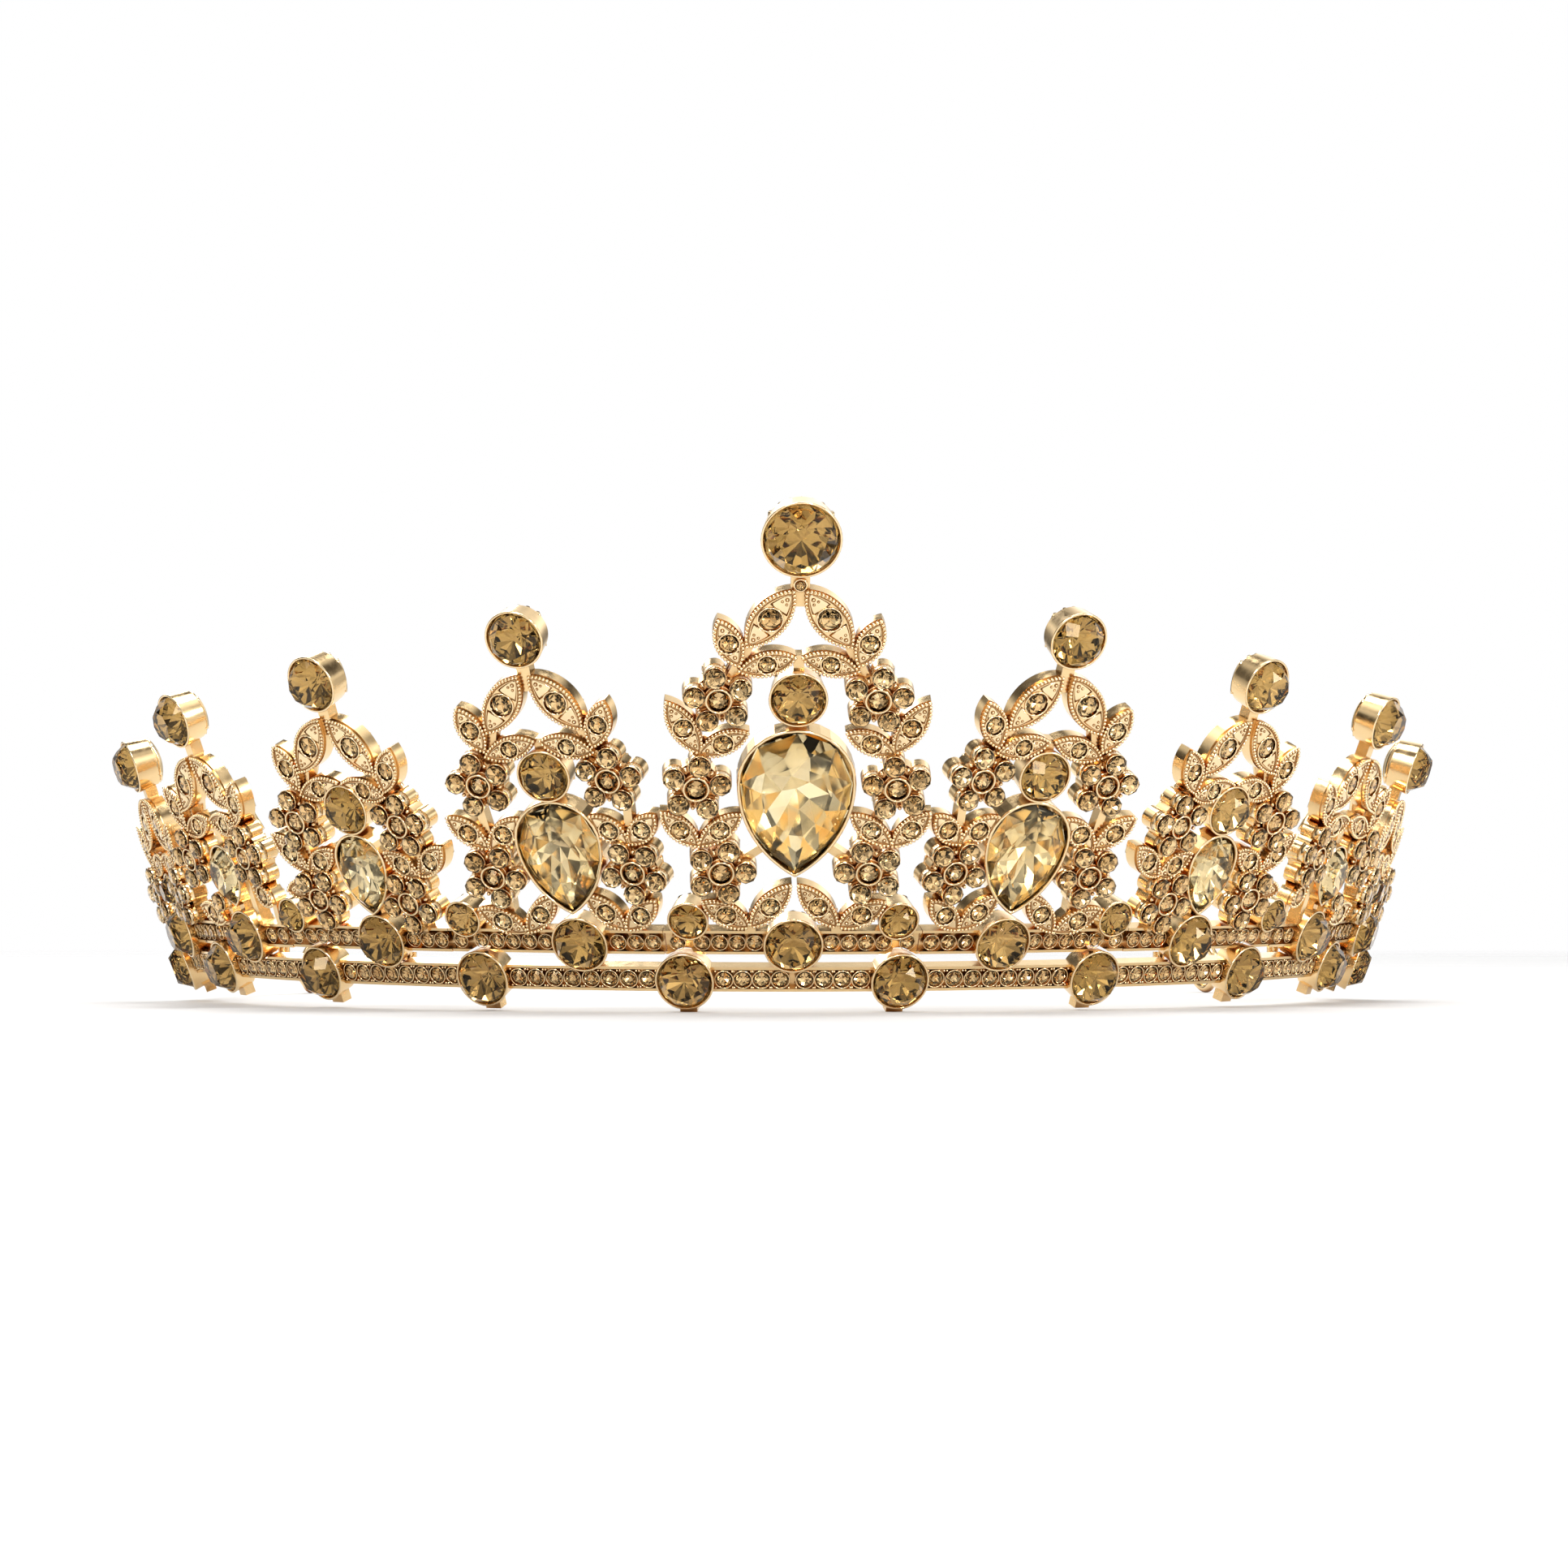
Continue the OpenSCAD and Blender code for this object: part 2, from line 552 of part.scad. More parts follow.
// A flat bracket behind each end cup, through which the wire leaves the lower band
bracket_from = [-1.2, -1.6, -5.6];
bracket_to = [1.2, 1.2, -3.55];
module headband() color(gold) at_rest() {
    wire_arc(front_centre, front_r + wire_off, -front_sweep, front_sweep);
    for (s = [1, -1]) on_side(s) {
        wire_arc(side_centre, side_r + wire_off, front_sweep, side_end);
        wire_arc(bend_centre, bend_r, side_end, bend_end);
        collar(place(front_sweep, wire_off).x, place(front_sweep, wire_off).y, front_sweep);
        collar(place(side_end, wire_off).x, place(side_end, wire_off).y, side_end);
        collar(leg_start.x, leg_start.y, bend_end);
        leg_frame() {
            translate([-leg_r, 0, 0])
                rotate_extrude(angle = leg_sweep)
                    translate([leg_r, 0])
                        circle(wire_r);
            translate([leg_end.x, leg_end.y, 0]) {
                sphere(wire_r + 0.15);
                rotate([0, leg_tilt, 0])
                    rotate([-loop_drop, 0, loop_turn + 90 - bend_end])
                        wire_loop();
            }
        }
        lower_frame(end_heading) translate(bracket_from) cube(bracket_to - bracket_from);
        // Solder where the castings meet the wire
        for (k = [1:3])
            translate([place(heading(k), post_off).x, place(heading(k), post_off).y, wire_z])
                cylinder(h = post_h, r = post_r);
    }
}

// Cut stones: a flat table, a crown down to the girdle, and below it a small flat culet
module round_stone(d) {
    r = d / 2;
    table_r = 0.56 * r;
    star_r = 0.8 * r;
    table = girdle + crown_part * d;
    star_w = table + (girdle - table) * (star_r * cos(22.5) - table_r) / (r - table_r);
    ring = function(rad, w, n, a) [for (i = [0:n - 1]) [rad * cos(a + 360 * i / n), rad * sin(a + 360 * i / n), w]];
    points = concat(
        ring(table_r, table, 8, 0),
        ring(star_r, star_w, 8, 22.5),
        ring(r, girdle, 16, 0),
        ring(culet_r, culet, 8, 0)
    );
    polyhedron(points, concat(
        [[for (i = [7:-1:0]) i]],
        [for (i = [0:7]) [i, (i + 1) % 8, 8 + i]],
        [for (i = [0:7]) [i, 8 + i, 16 + 2 * i]],
        [for (i = [0:7]) [(i + 1) % 8, 16 + (2 * i + 2) % 16, 8 + i]],
        [for (i = [0:7]) [8 + i, 16 + 2 * i + 1, 16 + 2 * i]],
        [for (i = [0:7]) [8 + i, 16 + (2 * i + 2) % 16, 16 + 2 * i + 1]],
        [for (i = [0:7]) [16 + 2 * i, 16 + 2 * i + 1, 32 + i]],
        [for (i = [0:7]) [16 + 2 * i + 1, 16 + (2 * i + 2) % 16, 32 + (i + 1) % 8]],
        [for (i = [0:7]) [16 + 2 * i + 1, 32 + (i + 1) % 8, 32 + i]],
        [[for (i = [0:7]) 32 + i]]
    ));
}
module small_stone(d, table_w, base_w) {
    r = d / 2;
    girdle_w = table_w + 0.45 * (base_w - table_w);
    rings = [[0.55 * r, table_w], [r, girdle_w], [0.7 * r, base_w]];
    points = [for (q = rings) for (i = [0:7]) [q[0] * cos(45 * i), q[0] * sin(45 * i), q[1]]];
    polyhedron(points, concat(
        [[for (i = [7:-1:0]) i]],
        [for (j = [0, 8]) for (i = [0:7]) [j + i, j + (i + 1) % 8, j + 8 + (i + 1) % 8, j + 8 + i]],
        [[for (i = [0:7]) 16 + i]]
    ));
}
module pear_stone_shape(k) {
    outline = pear_points(pear_w(k), pear_l(k), 4);
    n = len(outline);
    shoulder = pear_table + (pear_girdle - pear_table) * 0.42;
    levels = [[0.6, pear_table], [0.82, shoulder], [1, pear_girdle], [0.5, pear_culet]];
    points = [for (q = levels) for (p = outline) [p.x * q[0], p.y * q[0], q[1]]];
    polyhedron(points, concat(
        [[for (i = [0:n - 1]) i]],
        [for (j = [0:len(levels) - 2]) for (i = [0:n - 1]) [j * n + i, (j + 1) * n + i, (j + 1) * n + (i + 1) % n]],
        [for (j = [0:len(levels) - 2]) for (i = [0:n - 1]) [j * n + i, (j + 1) * n + (i + 1) % n, j * n + (i + 1) % n]],
        [[for (i = [n - 1:-1:0]) (len(levels) - 1) * n + i]]
    ));
}
module top_stone(k, s) color(topaz) at_rest() on_side(s) spire_frame(k)
    translate([0, top_v(k), 0]) round_stone(top_d(k));
module pear_stone(k, s) color(champagne) at_rest() on_side(s) spire_frame(k)
    translate([0, pear_v(k), 0]) pear_stone_shape(k);
module middle_stone(k, s) color(topaz) at_rest() on_side(s) spire_frame(k)
    translate([0, round_v(k), 0]) round_stone(round_d(k));
module upper_stone(k, s) color(topaz) at_rest() on_side(s) foot_frame(k) round_stone(large_stone_d);
module lower_stone(i, s) color(topaz) at_rest() on_side(s) lower_frame(LOWER[i][0]) round_stone(LOWER[i][1]);
module end_stones() color(topaz) at_rest() for (s = [1, -1])
    on_side(s) lower_frame(end_heading) round_stone(large_stone_d);
module mid_stones() color(topaz) at_rest() for (s = [1, -1]) for (i = [0:2])
    on_side(s) mid_frame(i) round_stone(MID[i][1]);
module leaf_stones() color(champagne) at_rest()
    for (p = PLACES) on_side(p[2]) spire_frame(p[1])
        for (l = leaves(p[1])) if (l[5] > 0) both_sides(l[6])
            translate(leaf_mid(l)) small_stone(l[5], leaf_table, plate_top + gap);
module flower_stones() color(champagne) at_rest()
    for (p = PLACES) on_side(p[2]) spire_frame(p[1])
        for (f = flowers(p[1])) both_sides(f[3])
            translate([f[0], f[1]]) small_stone(flower_stone_d, flower_table, flower_floor + gap);
module lower_band_stones() color(champagne) at_rest()
    for (s = [1, -1]) on_side(s) for (q = small_s)
        lower_frame(heading_at(q)) small_stone(band_stone_d, small_table, groove_floor + groove_gap);

for (p = PLACES) spire(p[1], p[2]);
lower_band();
headband();
for (p = PLACES) top_stone(p[1], p[2]);
for (p = PEARS) pear_stone(p[1], p[2]);
for (p = ROUNDS) middle_stone(p[1], p[2]);
for (p = PLACES) upper_stone(p[1], p[2]);
for (p = LOWERS) lower_stone(p[1], p[2]);
end_stones();
mid_stones();
leaf_stones();
flower_stones();
lower_band_stones();
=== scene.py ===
import collections
import itertools
import math

import bmesh
import bpy
import numpy as np
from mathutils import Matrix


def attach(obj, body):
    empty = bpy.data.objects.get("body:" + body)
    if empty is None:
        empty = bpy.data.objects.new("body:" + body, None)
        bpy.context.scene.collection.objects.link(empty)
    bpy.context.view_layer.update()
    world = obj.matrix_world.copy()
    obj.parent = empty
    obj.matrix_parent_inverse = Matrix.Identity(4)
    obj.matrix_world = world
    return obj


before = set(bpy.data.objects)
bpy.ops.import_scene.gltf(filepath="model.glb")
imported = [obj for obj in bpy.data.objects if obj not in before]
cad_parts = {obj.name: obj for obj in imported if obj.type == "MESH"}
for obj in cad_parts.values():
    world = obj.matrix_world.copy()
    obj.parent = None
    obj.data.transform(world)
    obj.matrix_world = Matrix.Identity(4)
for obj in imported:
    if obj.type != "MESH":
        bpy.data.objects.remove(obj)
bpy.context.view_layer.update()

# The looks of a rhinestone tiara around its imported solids. Lengths are in millimetres, and MM turns
# them into the metres of the scene. In the frame of a casting, u runs along the band, v up the
# casting and w out of its face.
MM = 0.001

# ---- sizes shared with the solids
# The curve of the band is three arcs on each side, up to these headings in degrees
FRONT_R, FRONT_SWEEP, SIDE_R, SIDE_END, END_R = 59.5, 14.2, 85.8, 73.0, 41.0
END_DIP, BAND_LEAN = 5.0, 20.0
UPPER_Z, UPPER_OUT = 4.1, 1.5
BAND_STONE_D, UPPER_STONE_D, BAND_H, GAP = 2.0, 1.85, 3.0, 0.1
CUP_WALL, PEAR_WALL = 0.28, 0.35
LARGE_D, FLOWER_D = 6.3, 2.3
PETAL_RING, PETAL_R = 2.75, 1.3
REST_PITCH, REST_SHIFT = 1.51, (0.0, -48.14, 3.18)

# Levels, as w
CUP_RIM, CUP_BACK, CUP_TAPER, DOME_H = -0.7, -3.4, 0.9, 1.0
GIRDLE, CULET = -0.85, -2.7
PEAR_RIM, PEAR_BACK, PEAR_GIRDLE, PEAR_CULET = -0.8, -3.25, -1.0, -2.5
BAND_FRONT, BAND_BACK, SMALL_TABLE, BAND_STONE_BACK = -1.5, -3.1, -1.25, -2.18
PLATE_BACK, PLATE_TOP, RELIEF_TOP, LEAF_TABLE = -2.9, -1.4, -0.85, -0.7
FLOWER_FLOOR, PETAL_TOP, FLOWER_RIM, FLOWER_TABLE = -1.1, -0.35, -0.1, 0.2
STEM_BACK = -3.5
LEAF_STONE_BACK = PLATE_TOP + GAP
FLOWER_STONE_BACK = FLOWER_FLOOR + GAP

# One row per casting, from the middle outwards
Spire = collections.namedtuple("Spire", "heading lean fan top_v top_d head_v flower_u round_v "
                                        "round_d pear_v pear_w pear_l")
SPIRES = [
    (0.0, 26.3, 0.0, 49.7, 8.3, 40.4, 8.8, 30.7, 6.0, 17.9, 12.6, 17.6),
    (20.8, 25.3, 2.2, 37.9, 6.3, 30.2, 7.9, 21.2, 5.8, 11.0, 9.8, 13.6),
    (38.8, 23.7, -1.8, 32.6, 6.3, 24.9, 8.0, 16.85, 5.8, 8.58, 7.0, 9.75),
    (56.2, 20.3, 1.4, 28.0, 6.3, 20.0, 7.1, 0.0, 0.0, 8.0, 5.6, 7.4),
    (71.3, 18.0, 1.0, 22.1, 6.3, 14.5, 6.9, 5.6, 4.0, 0.0, 0.0, 0.0),
]
SPIRES = [Spire(*row) for row in SPIRES]
# Headings of the lower band's cups, and those of the middle cups with their stones' diameters
LOWER = [12.1, 29.7, 46.8, 62.9]
MID = [(11.2, 4.2), (30.3, 4.1), (48.3, 4.0)]
END_HEADING, MID_V, MID_CLEAR = 82.4, 3.1, 3.0
LAST_SEAM, BAND_END = 63.4, 72.8

# Leaves: u and v of the foot, u and v of the tip, width, stone diameter, side
LEAVES = [
    [(5.3, 26.6, 11.2, 23.9, 2.9, 2.2, 0), (10.6, 23.9, 14.7, 30.4, 3.2, 2.2, 0),
     (6.0, 16.6, 11.0, 12.5, 2.8, 2.2, 0), (10.7, 12.4, 15.2, 16.8, 2.8, 2.2, 0),
     (0.3, 7.7, 5.1, 2.1, 3.0, 2.2, 0), (4.8, 2.2, 10.5, 5.5, 3.0, 2.2, 0)],
    [(4.3, 16.1, 8.7, 12.2, 3.0, 2.2, 0), (8.4, 12.3, 13.2, 16.6, 3.0, 2.2, 1),
     (8.4, 12.3, 12.4, 15.9, 3.0, 2.2, -1), (1.9, 6.3, 6.2, 1.5, 3.0, 2.2, 0),
     (6.0, 1.5, 11.8, 4.9, 3.0, 2.2, 1), (6.0, 1.5, 10.4, 5.3, 3.0, 2.2, -1)],
    [(3.9, 11.6, 8.9, 8.4, 3.0, 2.2, 0), (8.6, 8.4, 13.2, 13.4, 3.0, 2.2, 1),
     (8.6, 8.6, 13.2, 12.6, 3.0, 2.2, -1), (9.0, 6.4, 13.2, 5.9, 2.6, 0.0, 1)],
    [(4.4, 1.8, 9.7, 4.2, 2.9, 2.2, 1), (5.6, 6.6, 9.2, 3.9, 2.8, 2.2, -1)],
    [],
]
# Flowers below the upper pair: u, v, angle of the first petal, side
FLOWERS = [[(11.2, 20.0, 98, 0), (8.3, 9.5, 107, 0)], [(8.6, 9.1, 118, 0)],
           [(7.6, 5.3, 120, 1), (6.5, 5.4, 120, -1)], [], []]
UPPER_PETAL_ANGLE, UPPER_FLOWER_DROP = 80, 9.6
# Single cups: u, v, side
CUPS = [[], [], [], [(3.5, 4.7, 1)], [(5.0, -0.3, 1)]]


def head_leaves(h):
    """The leaves that every casting has below its top stone."""
    return [(0.6, h + 3.3, 5.9, h - 3.6, 4.1, 2.6, 0), (6.5, h - 5.9, 9.0, h - 0.2, 3.2, 2.2, 0),
            (0.2, h - 4.7, 6.8, h - 6.4, 3.0, 2.0, 0)]


def sides(side):
    """The u factors on which a row of a table stands."""
    return (side,) if side else (1, -1)


def leaves_of(k):
    """Every leaf of casting k as foot, tip, width and stone diameter, on its own side."""
    return [(np.array((m * a, b)), np.array((m * c, d)), w, stone)
            for a, b, c, d, w, stone, side in head_leaves(SPIRES[k].head_v) + LEAVES[k]
            for m in sides(side)]


def flowers_of(k):
    """Every flower of casting k: its middle and those of its five petals."""
    s = SPIRES[k]
    rows = [(s.flower_u, s.head_v - UPPER_FLOWER_DROP, UPPER_PETAL_ANGLE, 0)] + FLOWERS[k]
    out = []
    for u, v, angle, side in rows:
        turns = [math.radians(angle + 72 * i) for i in range(5)]
        petals = [(u + PETAL_RING * math.cos(a), v + PETAL_RING * math.sin(a)) for a in turns]
        for m in sides(side):
            out.append((np.array((m * u, v)), [np.array((m * p, q)) for p, q in petals]))
    return out


def single_cups_of(k):
    return [np.array((m * u, v)) for u, v, side in CUPS[k] for m in sides(side)]


def round_cups_of(k):
    """Middle and diameter of the large round stones in the frame of casting k."""
    s = SPIRES[k]
    rows = ((s.top_v, s.top_d), (s.round_v, s.round_d))
    return [(np.array((0.0, v)), d) for v, d in rows if d > 0]


LEAF_ROWS = [leaves_of(k) for k in range(5)]
FLOWER_ROWS = [flowers_of(k) for k in range(5)]


# ---- frames
def shift(x, y, z):
    m = np.eye(4)
    m[:3, 3] = (x, y, z)
    return m


def turn(axis, degrees):
    c, s = math.cos(math.radians(degrees)), math.sin(math.radians(degrees))
    i, j = {"x": (1, 2), "y": (2, 0), "z": (0, 1)}[axis]
    m = np.eye(4)
    m[i, i], m[i, j], m[j, i], m[j, j] = c, -s, s, c
    return m


def outward(h):
    """The direction out of the band at a heading, which is counted from the front."""
    return np.array((math.sin(math.radians(h)), -math.cos(math.radians(h))))


# The arcs from the front on: heading and length at which each starts, centre and radius
ARCS = [(0.0, 0.0, np.array((0.0, FRONT_R)), FRONT_R)]
for start, r in ((FRONT_SWEEP, SIDE_R), (SIDE_END, END_R)):
    h, length, centre, before = ARCS[-1]
    ARCS.append((start, length + math.radians(start - h) * before,
                 centre + (before - r) * outward(start), r))


def arc_at(column, value):
    """The arc in which a heading (column 0) or a length (column 1) lies."""
    return next((arc for arc in ARCS[::-1] if value > arc[column]), ARCS[0])


def place(h, off):
    """The point of the band's curve at a heading on the right, moved outwards."""
    _, _, centre, r = arc_at(0, h)
    return centre + (r + off) * outward(h)


def length_at(h):
    """The length of the curve from the front to a heading. On the left both are negative."""
    start, length, _, r = arc_at(0, abs(h))
    return math.copysign(length + math.radians(abs(h) - start) * r, h)


def heading_at(s):
    start, length, _, r = arc_at(1, abs(s))
    return math.copysign(start + math.degrees((abs(s) - length) / r), s)


def on_curve(h, off, z, tilt):
    """The frame of a thing on the band: u along it, v up and w out of its face."""
    side = -1 if h < 0 else 1
    x, y = place(abs(h), off)
    return shift(side * x, y, z) @ turn("z", h) @ turn("x", 90 + tilt)


def upper_frame(k, h):
    """A frame at a heading of casting k's stretch of the upper band."""
    return on_curve(h, UPPER_OUT, UPPER_Z, SPIRES[k].lean)


def foot_frame(k):
    return upper_frame(k, SPIRES[k].heading)


def spire_frame(k):
    return foot_frame(k) @ turn("z", -SPIRES[k].fan)


def mid_frame(i):
    return upper_frame(i, MID[i][0]) @ shift(0, MID_V, 0)


def lower_frame(h):
    """A frame on the lower band, which dips beyond the end of its side arc."""
    m = on_curve(h, 0, 0, BAND_LEAN)
    if abs(h) <= SIDE_END:
        return m
    x, y = place(SIDE_END, 0)
    ax, ay = outward(SIDE_END)
    about = turn("z", math.degrees(math.atan2(ay, ax)))
    dip = about @ turn("x", -END_DIP) @ np.linalg.inv(about)
    return shift(x, y, 0) @ dip @ shift(-x, -y, 0) @ m


REST = shift(*REST_SHIFT) @ turn("x", REST_PITCH)
MIRROR = np.diag((-1.0, 1.0, 1.0, 1.0))
SCALE = np.diag((MM, MM, MM, 1.0))


def placed(local, side=1):
    """A casting's frame brought into the scene, on the right or the left."""
    return SCALE @ REST @ (MIRROR if side < 0 else np.eye(4)) @ local


def pad(p, w):
    """A move to a point of a casting's face, at the level w."""
    return shift(p[0], p[1], w)


# ---- meshes
def in_scene(name, data):
    """A new object of the scene."""
    thing = bpy.data.objects.new(name, data)
    bpy.context.scene.collection.objects.link(thing)
    return thing


class Shape:
    """Points and faces that end up as one mesh."""

    def __init__(self, smooth=True):
        self.points, self.faces, self.slots, self.smooth = [], [], [], smooth
        self.count = 0

    def add(self, points, faces, matrix, slot=0):
        """Adds a mesh in its frame, with one material slot or a list of one per face."""
        points = np.asarray(points, float)
        moved = points @ matrix[:3, :3].T + matrix[:3, 3]
        flip = np.linalg.det(matrix[:3, :3]) < 0
        start = self.count
        slots = slot if isinstance(slot, list) else [slot] * len(faces)
        self.points.append(moved)
        for f, of_face in zip(faces, slots):
            f = [start + i for i in f]
            self.faces.append(f[::-1] if flip else f)
            self.slots.append(of_face)
        self.count += len(points)

    def build(self, name, materials, slot):
        mesh = bpy.data.meshes.new(name)
        mesh.from_pydata(np.vstack(self.points).tolist(), [], self.faces)
        for m in materials:
            mesh.materials.append(m)
        mesh.polygons.foreach_set("material_index", self.slots)
        mesh.polygons.foreach_set("use_smooth", [self.smooth] * len(self.faces))
        work = bmesh.new()
        work.from_mesh(mesh)
        bmesh.ops.recalc_face_normals(work, faces=work.faces)
        work.to_mesh(mesh)
        work.free()
        piece = in_scene(name, mesh)
        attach(piece, "root")


def circle(radius, w, n, turned=0.0):
    turns = [2 * math.pi * (i + turned) / n for i in range(n)]
    return [(radius * math.cos(a), radius * math.sin(a), w) for a in turns]


def lathe(profile, steps, closed=False):
    """A profile of (radius, w) turned about the w axis. A radius of nought makes one point."""
    points, rings = [], []
    for r, w in profile:
        n = 1 if r < 1e-9 else steps
        rings.append(range(len(points), len(points) + n))
        points += circle(r, w, n)
    faces = []
    for a, b in zip(rings, rings[1:] + (rings[:1] if closed else [])):
        for i in range(steps):
            j = (i + 1) % steps
            corners = (a[i % len(a)], a[j % len(a)], b[j % len(b)], b[i % len(b)])
            faces.append(tuple(dict.fromkeys(corners)))
    return points, faces


def ring(radius, thick, w, steps=32, around=8):
    """A ring of round wire about the w axis."""
    profile = [(radius + x, w + y) for x, y, _ in circle(thick, 0, around)]
    return lathe(profile, steps, closed=True)


BEAD_PROFILE = ((0, -0.4), (1, -0.4), (0.93, 0.37), (0.55, 0.84), (0, 1))


def bead(r):
    """A round-topped bead that is sunk a little into what carries it."""
    return lathe([(a * r, b * r) for a, b in BEAD_PROFILE], 8)


def sweep_faces(n, around, closed):
    """The faces of a wire of n rings, which is closed or has two end caps."""
    faces = []
    for i in range(n if closed else n - 1):
        a, b = i * around, (i + 1) % n * around
        for j in range(around):
            m = (j + 1) % around
            faces.append((a + j, a + m, b + m, b + j))
    if not closed:
        faces += [tuple(range(around))[::-1], tuple((n - 1) * around + j for j in range(around))]
    return faces


def tube(path, thick, around=6):
    """A round wire along a closed flat path of (u, v, w)."""
    path = np.asarray(path, float)
    ahead = np.roll(path, -1, 0) - np.roll(path, 1, 0)
    ahead /= np.linalg.norm(ahead, axis=1)[:, None]
    up = np.array((0, 0, 1))
    across = np.cross(ahead, up)
    points = [p + thick * (x * out + y * up) for p, out in zip(path, across)
              for x, y, _ in circle(1, 0, around)]
    return points, sweep_faces(len(path), around, True)


RIB_FLAT = 0.9


def rib(path, r, around=6):
    """A slightly flattened rib along an open path in the u = constant plane."""
    path = np.asarray(path, float)
    ahead = np.gradient(path, axis=0)
    ahead /= np.linalg.norm(ahead, axis=1)[:, None]
    across = np.array((1.0, 0, 0))
    points = [p + r * (x * across + RIB_FLAT * y * out)
              for p, out in zip(path, np.cross(across, ahead))
              for x, y, _ in circle(1, 0, around)]
    return points, sweep_faces(len(path), around, False)


# ---- outlines
# An outline that is drawn in by 1 mm gets this much shorter at a leaf's two points
POINT_INSET = 2.2


def leaf_outline(foot, tip, width, inset=0.0):
    """A leaf that is drawn in by an inset: its middle, the unit vectors along and across it,
    half its length, half its width and the radius of its edges."""
    length = np.linalg.norm(tip - foot)
    axis = (tip - foot) / length
    reach, half = (length - POINT_INSET * inset) / 2, width / 2 - inset
    r = (reach * reach + half * half) / (2 * half)
    return (foot + tip) / 2, axis, np.array((-axis[1], axis[0])), reach, half, r


def leaf_arcs(foot, tip, width, inset, pitch):
    """Evenly spaced points round a leaf."""
    middle, axis, side, reach, half, r = leaf_outline(foot, tip, width, inset)
    sweep = math.asin(min(1, reach / r))
    n = max(3, round(2 * r * sweep / pitch))
    points = []
    for s in (1, -1):
        for i in range(n):
            a = s * sweep * (2 * i / n - 1)
            rise = s * (r * math.cos(a) - (r - half))
            points.append(middle + r * math.sin(a) * axis + rise * side)
    return points


def in_leaf(p, foot, tip, width, inset):
    middle, axis, side, _, half, r = leaf_outline(foot, tip, width, inset)
    x, y = (p - middle) @ axis, abs((p - middle) @ side)
    return x * x + (y + r - half) ** 2 < r * r


def leaf_bed(foot, tip, width, inset, w, rise, start, end, along=8, across=6):
    """A shallow domed inlay in a stretch of a leaf, between two places on its axis."""
    middle, axis, side, _, half, r = leaf_outline(foot, tip, width, inset)
    points = []
    for i in range(along + 1):
        x = start + (end - start) * i / along
        y = max(0.02, math.sqrt(r * r - x * x) - (r - half))
        for j in range(across + 1):
            t = 2 * j / across - 1
            q = middle + x * axis + t * y * side
            points.append((*q, w + rise * (1 - t * t) * math.sqrt(y / half)))
    n = across + 1
    faces = [(i * n + j, (i + 1) * n + j, (i + 1) * n + j + 1, i * n + j + 1)
             for i in range(along) for j in range(across)]
    border = [i * n for i in range(along + 1)] + [along * n + j for j in range(1, n)]
    border += [i * n + across for i in range(along - 1, -1, -1)] + list(range(across - 1, 0, -1))
    return points, faces + [tuple(border)]


def pear_arcs(width, length):
    """A pear's round radius, the drop to its point, what its sides' radius has more, its lift."""
    r = width / 2
    t = length - r
    return r, t, (t * t - r * r) / (2 * r), length / 2 - r


def pear_edge(width, length, n=16):
    """The outline of a pear stone: a half circle above and two arcs that meet below."""
    r, t, a, lift = pear_arcs(width, length)
    turns = [math.pi * i / n for i in range(n + 1)]
    points = [(r * math.cos(b), lift + r * math.sin(b)) for b in turns]
    sweep = math.asin(t / (r + a))
    turns = [sweep * i / n for i in range(1, n)]
    flank = [(a - (r + a) * math.cos(b), lift - (r + a) * math.sin(b)) for b in turns]
    points += flank + [(0, lift - t)] + [(-u, v) for u, v in flank[::-1]]
    return [np.array(p) for p in points]


def in_pear(p, width, length):
    r, t, a, lift = pear_arcs(width, length)
    if p[1] > lift:
        return p[0] ** 2 + (p[1] - lift) ** 2 < r * r
    return p[1] > lift - t and (abs(p[0]) + a) ** 2 + (p[1] - lift) ** 2 < (r + a) ** 2


def in_pear_of(k, p, more):
    """True inside the outline of casting k's pear stone, made larger all round."""
    s = SPIRES[k]
    return s.pear_l > 0 and in_pear(p - np.array((0, s.pear_v)), s.pear_w + more, s.pear_l + more)


# ---- materials
def feed(tree, node, inputs):
    """Links or sets inputs of a node, by name or place. A triple is a colour."""
    for key, v in inputs.items():
        if isinstance(v, bpy.types.NodeSocket):
            tree.links.new(v, node.inputs[key])
        else:
            node.inputs[key].default_value = (*v, 1) if isinstance(v, tuple) else v


def new(tree, kind, inputs=None, **settings):
    node = tree.nodes.new("ShaderNode" + kind)
    for key, v in settings.items():
        setattr(node, key, v)
    feed(tree, node, inputs or {})
    return node


def nodes_of(name):
    """A new material, its node tree, its shader and the object's own coordinates."""
    m = bpy.data.materials.new(name)
    m.use_nodes = True
    tree = m.node_tree
    tree.nodes.clear()
    shader = new(tree, "BsdfPrincipled")
    new(tree, "OutputMaterial", {"Surface": shader.outputs["BSDF"]})
    return m, tree, shader, new(tree, "TexCoord").outputs["Object"]


def noise(tree, where, scale, detail=3.0):
    inputs = {"Vector": where, "Scale": scale, "Detail": detail}
    return new(tree, "TexNoise", inputs).outputs["Fac"]


def ramp(tree, value, stops):
    r = new(tree, "ValToRGB", {"Fac": value})
    first, last = r.color_ramp.elements
    first.position, first.color = stops[0][0], (*stops[0][1], 1)
    last.position, last.color = stops[-1][0], (*stops[-1][1], 1)
    for at, colour in stops[1:-1]:
        r.color_ramp.elements.new(at).color = (*colour, 1)
    return r.outputs["Color"]


def span(tree, *values):
    """A value carried from one range to another: value, low, high, new low, new high."""
    return new(tree, "MapRange", dict(enumerate(values))).outputs[0]


def mixed(tree, factor, a, b, blend="MIX"):
    return new(tree, "Mix", {0: factor, 6: a, 7: b}, data_type="RGBA",
               blend_type=blend).outputs[2]


